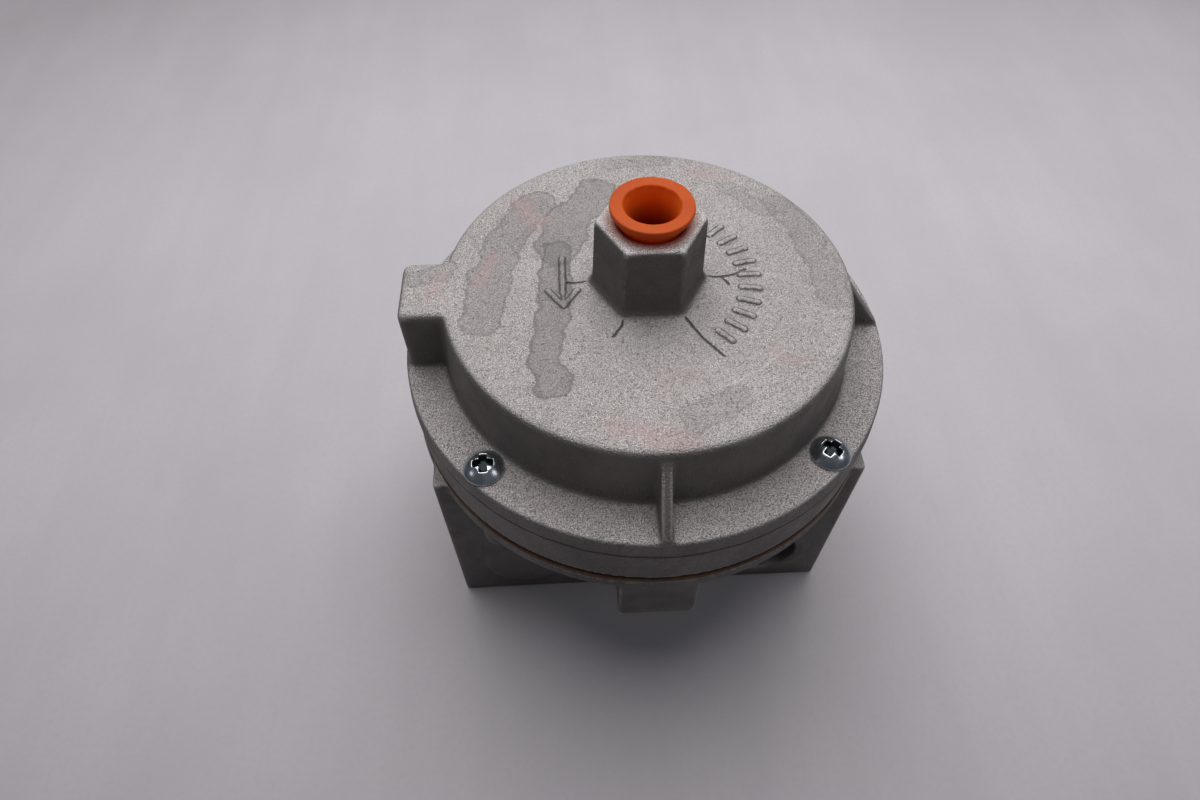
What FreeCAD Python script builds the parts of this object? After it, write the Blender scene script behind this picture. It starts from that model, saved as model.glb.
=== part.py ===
import FreeCAD, Part
import math
import os

import Sketcher

# Low-pressure air regulator. The origin is the centre of the base, on the main axis:
# +Z runs up the main axis to the inlet, -Y is the front and -X is the side of the outlet port.
# Lengths are in millimetres and angles in degrees.

DIMENSIONS = {
    # shared casting details
    "casting_rounding": 1.0,
    "edge_break": 0.5,
    "overlap": 1.0,
    # edge breaks of turned, pressed and moulded parts
    "fine_break": 0.2,
    "small_break": 0.4,
    "large_break": 1.2,
    # lower body
    "body_half_width": 45.4,
    "body_half_depth": 26.7,
    "body_top": 52.9,
    "joint_face": 53.2,
    "flange_radius": 50.0,
    "lower_flange_thickness": 3.0,
    "bowl_radius": 43.5,
    "bowl_bottom": 44.0,
    "bowl_slope_width": 3.0,
    "bowl_slope_height": 2.0,
    "bowl_floor": 46.5,
    "spring_chamber_radius": 40.0,
    "tower_bore_radius": 17.0,
    "tower_floor_bottom": 10.0,
    "tower_floor_top": 17.0,
    "tool_recess_radius": 11.0,
    "core_inner_edge": 21.0,
    "core_wall": 3.8,
    "core_top": 40.0,
    "port_offset": 28.5,
    "port_height": 15.0,
    "port_pad_radius": 11.5,
    "port_pad_thickness": 0.6,
    "port_boss_radius": 12.5,
    "vent_port_radius": 9.25,
    "vent_port_depth": 11.4,
    "vent_ledge_radius": 8.8,
    "vent_well_radius": 7.0,
    "vent_well_depth": 3.0,
    "vent_passage_radius": 2.0,
    "vent_passage_height": 19.5,
    "vent_passage_start": 6.0,
    "vent_passage_length": 20.0,
    "blank_boss_half_width": 8.0,
    "blank_boss_reach": 49.0,
    "blank_boss_bottom": 35.4,
    "base_hole_half_spacing_x": 37.5,
    "base_hole_half_spacing_y": 19.0,
    "base_hole_radius": 2.1,
    "base_hole_depth": 12.0,
    "base_boss_radius": 5.5,
    # joint between the castings
    "gasket_thickness": 1.0,
    "diaphragm_thickness": 0.8,
    "gasket_inset": 0.1,
    # cover
    "cover_flange_height": 14.0,
    "parting_line_drop": 4.2,
    "flange_draft": 0.3,
    "dome_height": 14.7,
    "dome_base_radius": 41.5,
    "dome_top_radius": 40.3,
    "dome_edge_rounding": 1.6,
    "chamber_radius": 38.0,
    "chamber_top_radius": 37.0,
    "dome_wall": 4.2,
    "block_reach": 48.45,
    "block_half_width": 7.5,
    "block_corner_rounding": 1.8,
    "rib_thickness": 2.0,
    "rib_top_drop": 1.6,
    "rib_foot_inset": 0.6,
    "hex_height": 15.7,
    "hex_top_corner_radius": 10.5,
    "hex_foot_corner_radius": 11.05,
    "hex_foot_fillet": 2.2,
    "hex_root": 0.2,
    "hex_edge_rounding": 1.0,
    "inner_boss_radius": 11.0,
    "inner_boss_bottom": 64.3,
    "outlet_port_radius": 4.35,
    "outlet_port_depth": 9.0,
    "outlet_port_height": 74.0,
    "outlet_passage_radius": 2.5,
    "outlet_passage_length": 16.0,
    # screws through the joint
    "screw_circle_radius": 45.95,
    "screw_radius": 2.0,
    "screw_head_radius": 3.9,
    "screw_head_height": 2.4,
    "screw_head_crown_factor": 1.35,
    "screw_slot_floor": 0.7,
    "screw_slot_width_factor": 0.3,
    "screw_length": 25.0,
    "screw_boss_radius": 4.2,
    "screw_boss_bottom": 42.5,
    "screw_boss_circle_radius": 44.57,
    "screw_thread_gap": 0.02,
    "screw_clearance": 0.25,
    # inlet, poppet and seat
    "inlet_bore_radius": 5.75,
    "inlet_countersink_radius": 6.9,
    "inlet_bore_bottom": 84.5,
    "poppet_bore_radius": 4.8,
    "seat_radius": 6.5,
    "seat_bottom": 64.0,
    "seat_top": 72.0,
    "seat_groove_drop": 1.2,
    "seat_groove_width": 1.4,
    "seat_groove_depth": 1.0,
    "seat_socket_factor": 0.54,
    "seat_socket_depth": 2.5,
    "seat_ring_radius": 6.03,
    "seat_ring_section": 0.5,
    "seat_ring_drop": 1.9,
    "nozzle_height": 1.4,
    "nozzle_radius": 3.0,
    "nozzle_bore_radius": 2.2,
    "nozzle_flare": 0.6,
    "seal_radius": 3.4,
    "seal_thickness": 1.5,
    "seal_gap": 0.02,
    "seal_cup_depth": 1.1,
    "poppet_radius": 4.5,
    "poppet_top": 78.5,
    "poppet_spigot_radius": 1.6,
    "poppet_spigot_height": 2.0,
    "poppet_flat_distance": 3.95,
    "stem_radius": 1.2,
    "valve_coil_radius": 2.9,
    "valve_wire_radius": 0.3,
    "valve_spring_coils": 5.0,
    "retainer_radius": 5.45,
    "retainer_thickness": 1.0,
    "air_hole_radius": 0.95,
    "air_hole_circle_radius": 3.7,
    "screen_ring_width": 1.1,
    "screen_ring_half_gap": 0.8,
    "screen_thickness": 0.4,
    # diaphragm and its plates
    "diaphragm_rise": 3.0,
    "diaphragm_rim_radius": 49.2,
    "diaphragm_cone_width": 3.0,
    "diaphragm_cone_gap": 0.4,
    "plate_radius": 29.0,
    "plate_thickness": 1.2,
    "plate_rim_width": 1.0,
    "plate_rim_step": 0.6,
    "spring_guide_gap": 0.5,
    "spring_guide_width": 1.2,
    "spring_guide_height": 1.5,
    "centre_screw_radius": 2.5,
    "centre_screw_head_radius": 4.5,
    "centre_screw_head_height": 3.0,
    "centre_nut_corner_radius": 4.6,
    "centre_nut_height": 4.0,
    "washer_thickness": 1.2,
    "washer_radius": 4.3,
    "washer_half_split": 0.3,
    "nut_chamfer_factor": 0.1,
    # range spring and its adjustment
    "range_coil_radius": 11.5,
    "range_wire_radius": 1.2,
    "range_spring_coils": 7.0,
    "sweep_segment": 0.5,
    "spring_seat_radius": 12.5,
    "spring_seat_bottom": 18.5,
    "spring_seat_thickness": 2.5,
    "spring_pilot_radius": 9.9,
    "spring_pilot_height": 2.0,
    "spring_pilot_taper": 0.6,
    "screw_dimple_gap": 0.3,
    "adjusting_screw_radius": 4.0,
    "adjusting_screw_bottom": 1.5,
    "adjusting_screw_top": 20.0,
    "adjusting_slot_half_width": 0.6,
    "adjusting_slot_depth": 2.0,
    "lock_nut_corner_radius": 7.5,
    "lock_nut_height": 4.0,
    # shipping plug
    "plug_top": 102.6,
    "plug_rim_radius": 7.7,
    "plug_rim_thickness": 1.3,
    "plug_shank_radius": 6.7,
    "plug_mouth_radius": 5.69,
    "plug_tip_radius": 5.3,
    "plug_tip": 90.0,
    "plug_hole_radius": 5.2,
    "plug_hole_tip_radius": 4.3,
    "plug_hole_taper": 0.35,
    "plug_mouth_depth": 1.2,
    "plug_shank_rise": 0.6,
    "plug_end_wall": 1.0,
    # running and assembly gaps
    "small_gap": 0.05,
}

doc = FreeCAD.newDocument("AirPressureRegulator")
sheet = doc.addObject("Spreadsheet::Sheet", "Dimensions")
for row, (alias, amount) in enumerate(DIMENSIONS.items(), start=1):
    sheet.set(f"A{row}", alias)
    sheet.set(f"B{row}", str(amount))
    sheet.setAlias(f"B{row}", alias)
doc.recompute()


class Size:
    """A length together with the expression that gives it from the sheet."""

    def __init__(self, amount, text):
        self.amount = amount
        self.text = text

    def joined(self, sign, other, result):
        return Size(result, f"({self.text} {sign} {other.text})")

    def __add__(self, other):
        other = as_size(other)
        return self.joined("+", other, self.amount + other.amount)

    def __sub__(self, other):
        other = as_size(other)
        return self.joined("-", other, self.amount - other.amount)

    def __mul__(self, factor):
        factor = as_size(factor)
        return self.joined("*", factor, self.amount * factor.amount)

    def __truediv__(self, factor):
        factor = as_size(factor)
        return self.joined("/", factor, self.amount / factor.amount)

    def __neg__(self):
        return self * -1


def as_size(number):
    """Wraps a plain number, so that it can stand in a sum of sizes."""
    return number if isinstance(number, Size) else Size(number, f"({number:.9g})")


def dim(alias):
    """One driving dimension of the sheet."""
    return Size(DIMENSIONS[alias], f"Dimensions.{alias}")


ZERO = as_size(0)
ALONG_X = FreeCAD.Rotation(FreeCAD.Vector(0, 1, 0), 90)
ALONG_Y = FreeCAD.Rotation(FreeCAD.Vector(1, 0, 0), -90)
UPRIGHT = FreeCAD.Rotation()

# levels worked out from the driving dimensions
GASKET_TOP = dim("joint_face") + dim("gasket_thickness")
COVER_BOTTOM = GASKET_TOP + dim("diaphragm_thickness")
FLANGE_TOP = COVER_BOTTOM + dim("cover_flange_height")
DOME_TOP = FLANGE_TOP + dim("dome_height")
HEX_FOOT = DOME_TOP - dim("hex_root")
HEX_TOP = DOME_TOP + dim("hex_height")
CHAMBER_TOP = DOME_TOP - dim("dome_wall")
LOWER_FLANGE_BOTTOM = dim("joint_face") - dim("lower_flange_thickness")
DISC_BOTTOM = GASKET_TOP + dim("diaphragm_rise")
DISC_TOP = DISC_BOTTOM + dim("diaphragm_thickness")
UPPER_PLATE_TOP = DISC_TOP + dim("plate_thickness")
LOWER_PLATE_BOTTOM = DISC_BOTTOM - dim("plate_thickness")
WASHER_BOTTOM = LOWER_PLATE_BOTTOM - dim("washer_thickness")
NUT_BOTTOM = WASHER_BOTTOM - dim("centre_nut_height")
HEAD_TOP = UPPER_PLATE_TOP + dim("centre_screw_head_height")
NOZZLE_TOP = dim("seat_top") + dim("nozzle_height")
SEAL_BOTTOM = NOZZLE_TOP + dim("small_gap")
SEAL_TOP = SEAL_BOTTOM + dim("seal_thickness")
RETAINER_TOP = dim("inlet_bore_bottom") + dim("retainer_thickness")
SCREEN_TOP = RETAINER_TOP + dim("screen_thickness")
SPRING_SEAT_TOP = dim("spring_seat_bottom") + dim("spring_seat_thickness")


def bind(feature, path, size):
    """Sets a property of a feature from the sheet."""
    feature.setExpression(path, size.text)


def place(feature, across, along, up, rotation=UPRIGHT):
    """Puts a primitive at a point whose three coordinates come from the sheet."""
    base = FreeCAD.Vector(across.amount, along.amount, up.amount)
    feature.Placement = FreeCAD.Placement(base, rotation)
    bind(feature, "Placement.Base.x", across)
    bind(feature, "Placement.Base.y", along)
    bind(feature, "Placement.Base.z", up)


# ---- PartDesign helpers ----

def new_body(label):
    body = doc.addObject("PartDesign::Body", label)
    body.Label = label
    return body


def outline_sketch(body, name, role, corners, level=ZERO):
    """A closed outline on an origin plane of the body, with every corner fixed by two sizes."""
    sketch = body.newObject("Sketcher::SketchObject", name)
    plane = next(item for item in body.Origin.OriginFeatures if item.Role == role)
    sketch.AttachmentSupport = (plane, [""])
    sketch.MapMode = "FlatFace"
    bind(sketch, "AttachmentOffset.Base.z", level)
    points = [FreeCAD.Vector(across.amount, up.amount, 0) for across, up in corners]
    count = len(points)
    for index in range(count):
        sketch.addGeometry(Part.LineSegment(points[index], points[(index + 1) % count]), False)
    for index in range(count):
        following = (index + 1) % count
        sketch.addConstraint(Sketcher.Constraint("Coincident", index, 2, following, 1))
    for index, (across, up) in enumerate(corners):
        for kind, size in (("DistanceX", across), ("DistanceY", up)):
            rule = Sketcher.Constraint(kind, -1, 1, index, 1, size.amount)
            number = sketch.addConstraint(rule)
            bind(sketch, f"Constraints[{number}]", size)
    sketch.Visibility = False
    return sketch


def polygon_corners(radius, sides, first_angle=0.0):
    """Corners of a regular polygon about the axis."""
    angles = [math.radians(first_angle + 360.0 * side / sides) for side in range(sides)]
    return [(radius * math.cos(angle), radius * math.sin(angle)) for angle in angles]


def revolve(body, name, corners, kind="PartDesign::Revolution"):
    """Turns an outline of (radius, height) corners about the main axis."""
    sketch = outline_sketch(body, name + "_outline", "XZ_Plane", corners)
    feature = body.newObject(kind, name)
    feature.Profile = sketch
    feature.ReferenceAxis = (sketch, ["V_Axis"])
    feature.Angle = 360
    return feature


def cut_round(body, name, corners):
    return revolve(body, name, corners, "PartDesign::Groove")


def extrude(body, name, sketch, length, kind="PartDesign::Pad", side="One side", flipped=False):
    feature = body.newObject(kind, name)
    feature.Profile = sketch
    feature.SideType = side
    feature.Reversed = flipped
    bind(feature, "Length", length)
    return feature


def box(body, name, lower, upper, cut=False):
    """A block between two opposite corners, added to the body or cut from it."""
    kind = "PartDesign::SubtractiveBox" if cut else "PartDesign::AdditiveBox"
    feature = body.newObject(kind, name)
    place(feature, *lower)
    for path, low, high in zip(("Length", "Width", "Height"), lower, upper):
        bind(feature, path, high - low)
    return feature


def cylinder(body, name, radius, height, start, rotation=UPRIGHT, cut=False):
    """A round bar from its start point along the rotated Z axis, added or cut."""
    kind = "PartDesign::SubtractiveCylinder" if cut else "PartDesign::AdditiveCylinder"
    feature = body.newObject(kind, name)
    place(feature, *start, rotation)
    bind(feature, "Radius", radius)
    bind(feature, "Height", height)
    return feature


def round_edges(body, name, radius, chosen):
    """Fillets the edges of the body's tip that the test picks."""
    doc.recompute()
    tip = body.Tip
    edges = [f"Edge{n}" for n, edge in enumerate(tip.Shape.Edges, start=1) if chosen(edge)]
    feature = body.newObject("PartDesign::Fillet", name)
    feature.Base = (tip, edges)
    bind(feature, "Radius", radius)
    return feature


def on_level(edge, level):
    """True where the whole edge lies on one height."""
    bounds = edge.BoundBox
    return abs(bounds.ZMin - level.amount) < 0.01 and abs(bounds.ZMax - level.amount) < 0.01


def reach(edge):
    """The edge's distance from the main axis, at its middle."""
    middle = edge.valueAt((edge.FirstParameter + edge.LastParameter) / 2)
    return math.hypot(middle.x, middle.y)


def four_corners(across, along):
    """The four places at +-across and +-along, each as a name and its two sizes."""
    return [
        ("front_right", across, -along),
        ("back_right", across, along),
        ("back_left", -across, along),
        ("front_left", -across, -along),
    ]


def screw_places(circle="screw_circle_radius"):
    """The four diagonal places on a circle about the main axis."""
    offset = dim(circle) * math.sqrt(0.5)
    return four_corners(offset, offset)


def drill(body, places, suffix, radius, low, high):
    """One upright hole between two heights at each place."""
    for name, across, along in places:
        cylinder(body, name + suffix, radius, high - low, (across, along, low), cut=True)


# ---- castings ----

def make_lower_body():
    body = new_body("lower_body")
    half_width = dim("body_half_width")
    half_depth = dim("body_half_depth")
    joint = dim("joint_face")
    overlap = dim("overlap")
    edge = dim("edge_break")
    box(body, "housing", (-half_width, -half_depth, ZERO), (half_width, half_depth, dim("body_top")))
    round_edges(body, "housing_corners", dim("casting_rounding"),
                lambda edge: edge.BoundBox.ZLength > 1)
    bowl = dim("bowl_radius")
    flange = dim("flange_radius")
    revolve(body, "bowl_and_flange", [
        (ZERO, dim("bowl_bottom")),
        (bowl - dim("bowl_slope_width"), dim("bowl_bottom")),
        (bowl, dim("bowl_bottom") + dim("bowl_slope_height")),
        (bowl, LOWER_FLANGE_BOTTOM),
        (flange - edge, LOWER_FLANGE_BOTTOM),
        (flange, LOWER_FLANGE_BOTTOM + edge),
        (flange, joint),
        (ZERO, joint),
    ])
    # cored pockets, open at the base, one on each side of the spring tower
    core_inner = dim("core_inner_edge")
    core_outer = half_width - dim("core_wall")
    core_depth = half_depth - dim("core_wall")
    box(body, "left_core", (-core_outer, -core_depth, -overlap),
        (-core_inner, core_depth, dim("core_top")), cut=True)
    box(body, "right_core", (core_inner, -core_depth, -overlap),
        (core_outer, core_depth, dim("core_top")), cut=True)
    # blank boss in front, under the flange
    boss = dim("blank_boss_half_width")
    box(body, "blank_boss", (-boss, -dim("blank_boss_reach"), dim("blank_boss_bottom")),
        (boss, -half_depth + overlap, LOWER_FLANGE_BOTTOM + overlap))
    for name, across, along in screw_places("screw_boss_circle_radius"):
        cylinder(body, name + "_screw_boss", dim("screw_boss_radius"),
                 LOWER_FLANGE_BOTTOM + overlap - dim("screw_boss_bottom"),
                 (across, along, dim("screw_boss_bottom")))
    # bosses of the four base holes stand in the corners of the cores
    base_places = four_corners(dim("base_hole_half_spacing_x"), dim("base_hole_half_spacing_y"))
    for name, across, along in base_places:
        cylinder(body, name + "_base_boss", dim("base_boss_radius"), dim("core_top") + overlap,
                 (across, along, ZERO))
    # round pads on the front: the right one is the vent port, the left one stays blank
    port = dim("port_offset")
    port_height = dim("port_height")
    pad_front = -half_depth - dim("port_pad_thickness")
    pad_depth = dim("port_pad_thickness") + overlap
    port_depth = dim("vent_port_depth")
    well_depth = dim("vent_well_depth")
    cylinder(body, "left_pad", dim("vent_port_radius"), pad_depth,
             (-port, pad_front, port_height), ALONG_Y)
    cylinder(body, "right_pad", dim("port_pad_radius"), pad_depth,
             (port, pad_front, port_height), ALONG_Y)
    cylinder(body, "right_port_boss", dim("port_boss_radius"),
             port_depth + well_depth + dim("core_wall"),
             (port, -half_depth + edge, port_height), ALONG_Y)
    # bores on the main axis: diaphragm bowl, spring tower, adjusting thread, tool recess
    thread = dim("adjusting_screw_radius") + dim("small_gap")
    cut_round(body, "spring_bore", [
        (ZERO, -overlap),
        (dim("tool_recess_radius"), -overlap),
        (dim("tool_recess_radius"), dim("tower_floor_bottom")),
        (thread, dim("tower_floor_bottom")),
        (thread, dim("tower_floor_top")),
        (dim("tower_bore_radius"), dim("tower_floor_top")),
        (dim("tower_bore_radius"), dim("bowl_floor")),
        (dim("spring_chamber_radius") - dim("bowl_slope_height"), dim("bowl_floor")),
        (dim("spring_chamber_radius"), dim("bowl_floor") + dim("bowl_slope_height")),
        (dim("spring_chamber_radius"), joint + overlap),
        (ZERO, joint + overlap),
    ])
    # vent port, the ledge of its screen, the well behind and the passage to the spring tower
    cylinder(body, "vent_port", dim("vent_port_radius"), port_depth + overlap,
             (port, pad_front - overlap, port_height), ALONG_Y, cut=True)
    cylinder(body, "vent_ledge", dim("vent_ledge_radius"), port_depth + dim("screen_thickness"),
             (port, pad_front, port_height), ALONG_Y, cut=True)
    cylinder(body, "vent_well", dim("vent_well_radius"), port_depth + well_depth,
             (port, pad_front, port_height), ALONG_Y, cut=True)
    cylinder(body, "vent_passage", dim("vent_passage_radius"), dim("vent_passage_length"),
             (dim("vent_passage_start"), pad_front + port_depth + well_depth / 2,
              dim("vent_passage_height")), ALONG_X, cut=True)
    drill(body, screw_places(), "_screw_hole", dim("screw_radius") + dim("screw_thread_gap"),
          dim("screw_boss_bottom") - edge, joint + edge)
    drill(body, base_places, "_base_hole", dim("base_hole_radius"), -overlap,
          dim("base_hole_depth"))


def make_cover():
    body = new_body("cover")
    flange = dim("flange_radius")
    draft = dim("flange_draft")
    overlap = dim("overlap")
    boss = dim("inner_boss_radius")
    parting = FLANGE_TOP - dim("parting_line_drop")
    revolve(body, "dome_and_flange", [
        (ZERO, dim("inner_boss_bottom")),
        (boss, dim("inner_boss_bottom")),
        (boss + dim("edge_break"), CHAMBER_TOP),
        (dim("chamber_top_radius"), CHAMBER_TOP),
        (dim("chamber_radius"), COVER_BOTTOM),
        (flange - draft, COVER_BOTTOM),
        (flange, parting),
        (flange - draft, FLANGE_TOP - dim("edge_break")),
        (flange - draft - dim("edge_break"), FLANGE_TOP),
        (dim("dome_base_radius"), FLANGE_TOP),
        (dim("dome_top_radius"), DOME_TOP),
        (ZERO, DOME_TOP),
    ])
    # port block on the left, level with the top of the dome
    half_width = dim("block_half_width")
    block_end = -dim("block_reach")
    box(body, "port_block", (block_end, -half_width, FLANGE_TOP - overlap),
        (-dim("chamber_radius") - overlap, half_width, DOME_TOP))
    round_edges(body, "block_corners", dim("block_corner_rounding"),
                lambda edge: edge.BoundBox.ZLength > 10 and reach(edge) > 48)
    round_edges(body, "top_edge", dim("dome_edge_rounding"),
                lambda edge: on_level(edge, DOME_TOP))
    round_edges(body, "dome_foot", dim("casting_rounding"),
                lambda edge: on_level(edge, FLANGE_TOP) and reach(edge) < 48.9)
    # hexagonal inlet boss with a drafted foot
    foot = outline_sketch(body, "hex_foot", "XY_Plane",
                          polygon_corners(dim("hex_foot_corner_radius"), 6), HEX_FOOT)
    top = outline_sketch(body, "hex_top", "XY_Plane",
                         polygon_corners(dim("hex_top_corner_radius"), 6), HEX_TOP)
    hexagon = body.newObject("PartDesign::AdditiveLoft", "hex_boss")
    hexagon.Profile = foot
    hexagon.Sections = [top]
    hexagon.Ruled = True
    round_edges(body, "hex_edges", dim("hex_edge_rounding"),
                lambda edge: on_level(edge, HEX_TOP)
                or (9.5 < reach(edge) < 12 and edge.BoundBox.ZLength > 12))
    round_edges(body, "hex_fillet", dim("hex_foot_fillet"),
                lambda edge: on_level(edge, DOME_TOP) and reach(edge) < 13)
    # gusset ribs at the front, right and back
    rib_root = dim("chamber_radius") + overlap
    rib_tip = flange - dim("rib_foot_inset")
    rib_top = DOME_TOP - dim("rib_top_drop")
    rib = outline_sketch(body, "rib_outline", "YZ_Plane", [
        (-rib_root, FLANGE_TOP - overlap),
        (-rib_tip, FLANGE_TOP - overlap),
        (-rib_tip, FLANGE_TOP + draft),
        (-dim("dome_top_radius"), rib_top),
        (-rib_root, rib_top),
    ])
    front_rib = extrude(body, "front_rib", rib, dim("rib_thickness"), side="Symmetric")
    axis = next(item for item in body.Origin.OriginFeatures if item.Role == "Z_Axis")
    doc.recompute()
    ribs = body.newObject("PartDesign::PolarPattern", "ribs")
    ribs.Originals = [front_rib]
    ribs.Axis = (axis, [""])
    ribs.Mode = "Spacing"
    ribs.Offset = 90
    ribs.Occurrences = 3
    body.Tip = ribs
    doc.recompute()
    # seat bore from below, poppet bore, inlet bore from above
    seat_bore = dim("seat_radius") + dim("small_gap")
    inlet = dim("inlet_bore_radius")
    countersink = dim("inlet_countersink_radius")
    cut_round(body, "valve_bore", [
        (ZERO, dim("inner_boss_bottom") - overlap),
        (seat_bore, dim("inner_boss_bottom") - overlap),
        (seat_bore, dim("seat_top")),
        (dim("poppet_bore_radius"), dim("seat_top")),
        (dim("poppet_bore_radius"), dim("inlet_bore_bottom")),
        (inlet, dim("inlet_bore_bottom")),
        (inlet, HEX_TOP - (countersink - inlet)),
        (countersink, HEX_TOP),
        (countersink, HEX_TOP + overlap),
        (ZERO, HEX_TOP + overlap),
    ])
    # outlet port in the block and its passage into the chamber
    cylinder(body, "outlet_port", dim("outlet_port_radius"), dim("outlet_port_depth") + overlap,
             (block_end - overlap, ZERO, dim("outlet_port_height")), ALONG_X, cut=True)
    cylinder(body, "outlet_passage", dim("outlet_passage_radius"), dim("outlet_passage_length"),
             (block_end, ZERO, dim("outlet_port_height")), ALONG_X, cut=True)
    drill(body, screw_places(), "_hole", dim("screw_radius") + dim("screw_clearance"),
          COVER_BOTTOM - overlap, FLANGE_TOP + overlap)


# ---- joint pieces ----

def make_gasket():
    body = new_body("flange_gasket")
    revolve(body, "ring", [
        (dim("spring_chamber_radius"), dim("joint_face")),
        (dim("flange_radius") - dim("gasket_inset"), dim("joint_face")),
        (dim("flange_radius") - dim("gasket_inset"), GASKET_TOP),
        (dim("spring_chamber_radius"), GASKET_TOP),
    ])
    drill(body, screw_places(), "_hole", dim("screw_radius") + dim("screw_clearance"),
          dim("joint_face") - dim("overlap"), GASKET_TOP + dim("overlap"))


def make_diaphragm():
    """Flat rim clamped in the joint, one conical convolution and a raised flat centre."""
    body = new_body("diaphragm")
    foot = dim("chamber_radius") - dim("diaphragm_cone_gap")
    shoulder = foot - dim("diaphragm_cone_width")
    revolve(body, "disc", [
        (dim("centre_screw_radius") + dim("small_gap"), DISC_BOTTOM),
        (shoulder, DISC_BOTTOM),
        (foot, GASKET_TOP),
        (dim("diaphragm_rim_radius"), GASKET_TOP),
        (dim("diaphragm_rim_radius"), COVER_BOTTOM),
        (foot + dim("gasket_inset"), COVER_BOTTOM),
        (shoulder + dim("diaphragm_cone_gap"), DISC_TOP),
        (dim("centre_screw_radius") + dim("small_gap"), DISC_TOP),
    ])
    drill(body, screw_places(), "_hole", dim("screw_radius") + dim("screw_clearance"),
          GASKET_TOP - dim("overlap"), COVER_BOTTOM + dim("overlap"))


def make_cover_screws():
    """Four pan-head screws with cross recesses, each turned a little differently."""
    screws = []
    head = dim("screw_head_radius")
    shank_bottom = FLANGE_TOP - dim("screw_length")
    turns = {"front_right": 45, "back_right": 70, "back_left": 20, "front_left": 3}
    for name, across, along in screw_places():
        shank = doc.addObject("Part::Cylinder", name + "_shank")
        bind(shank, "Radius", dim("screw_radius"))
        bind(shank, "Height", dim("screw_length") + dim("edge_break"))
        place(shank, across, along, shank_bottom)
        disc = doc.addObject("Part::Cylinder", name + "_head_disc")
        bind(disc, "Radius", head)
        bind(disc, "Height", dim("screw_head_height"))
        place(disc, across, along, FLANGE_TOP)
        # a sphere whose cap is as high as the head trims the disc to a pan shape
        ball_radius = head * dim("screw_head_crown_factor")
        ball = doc.addObject("Part::Sphere", name + "_head_ball")
        bind(ball, "Radius", ball_radius)
        place(ball, across, along, FLANGE_TOP + dim("screw_head_height") - ball_radius)
        pan = doc.addObject("Part::MultiCommon", name + "_head")
        pan.Shapes = [disc, ball]
        blank = doc.addObject("Part::MultiFuse", name + "_blank")
        blank.Shapes = [pan, shank]
        slots = []
        slot_width = dim("screw_slot_width_factor")
        for slot_turn in (0, 90):
            slot = doc.addObject("Part::Box", f"{name}_slot_{slot_turn}")
            bind(slot, "Length", head)
            bind(slot, "Width", head * slot_width)
            bind(slot, "Height", dim("screw_head_height"))
            turn = FreeCAD.Rotation(FreeCAD.Vector(0, 0, 1), turns[name] + slot_turn)
            corner = turn.multVec(FreeCAD.Vector(-1, -slot_width.amount, 0) / 2)
            place(slot, across + head * corner.x, along + head * corner.y,
                  FLANGE_TOP + dim("screw_slot_floor"), turn)
            slots.append(slot)
        cross = doc.addObject("Part::MultiFuse", name + "_cross")
        cross.Shapes = slots
        screw = doc.addObject("Part::Cut", name + "_screw")
        screw.Base = blank
        screw.Tool = cross
        screws.append(screw)
    group = doc.addObject("Part::Compound", "cover_screws")
    group.Links = screws
    group.Label = "cover_screws"


# ---- inlet side ----

def make_inlet_plug():
    """Hollow tapered shipping plug with a flat rim."""
    body = new_body("inlet_plug")
    tip = dim("plug_tip_radius")
    tip_level = dim("plug_tip")
    floor = tip_level + dim("plug_end_wall")
    hole = dim("plug_hole_radius")
    rim = dim("plug_rim_radius")
    rim_bottom = dim("plug_top") - dim("plug_rim_thickness")
    mouth_level = HEX_TOP - dim("plug_mouth_depth")
    fine = dim("fine_break")
    small = dim("small_break")
    revolve(body, "shell", [
        (ZERO, tip_level),
        (tip - small, tip_level),
        (tip, tip_level + small),
        (dim("plug_mouth_radius"), mouth_level),
        (dim("plug_shank_radius"), HEX_TOP + dim("plug_shank_rise")),
        (dim("plug_shank_radius"), rim_bottom),
        (rim, rim_bottom + fine),
        (rim, dim("plug_top") - fine),
        (rim - fine, dim("plug_top")),
        (hole + fine, dim("plug_top")),
        (hole, dim("plug_top") - fine),
        (hole - dim("plug_hole_taper"), mouth_level),
        (dim("plug_hole_tip_radius"), floor + small),
        (dim("plug_hole_tip_radius") - small, floor),
        (ZERO, floor),
    ])


def make_spring_retainer():
    """Perforated disc that stops the valve spring, on the ledge below the inlet bore."""
    body = new_body("spring_retainer")
    bottom = dim("inlet_bore_bottom")
    revolve(body, "disc", [
        (ZERO, bottom),
        (dim("retainer_radius"), bottom),
        (dim("retainer_radius"), RETAINER_TOP),
        (ZERO, RETAINER_TOP),
    ])
    corners = polygon_corners(dim("air_hole_circle_radius"), 6)
    places = [(f"air_{number}", across, along) for number, (across, along) in enumerate(corners)]
    drill(body, places, "_hole", dim("air_hole_radius"), bottom - dim("overlap"),
          RETAINER_TOP + dim("overlap"))


def make_inlet_screen():
    screen = doc.addObject("Part::Cylinder", "inlet_screen")
    bind(screen, "Radius", dim("retainer_radius"))
    bind(screen, "Height", dim("screen_thickness"))
    place(screen, ZERO, ZERO, RETAINER_TOP)


def make_screen_ring():
    """Split spring ring that holds the screen down."""
    body = new_body("screen_ring")
    outer = dim("retainer_radius")
    inner = outer - dim("screen_ring_width")
    ring_top = SCREEN_TOP + dim("retainer_thickness")
    revolve(body, "ring", [
        (inner, SCREEN_TOP),
        (outer, SCREEN_TOP),
        (outer, ring_top),
        (inner, ring_top),
    ])
    half_gap = dim("screen_ring_half_gap")
    box(body, "gap", (inner - dim("overlap"), -half_gap, SCREEN_TOP - dim("overlap")),
        (outer + dim("overlap"), half_gap, ring_top + dim("overlap")), cut=True)


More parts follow.
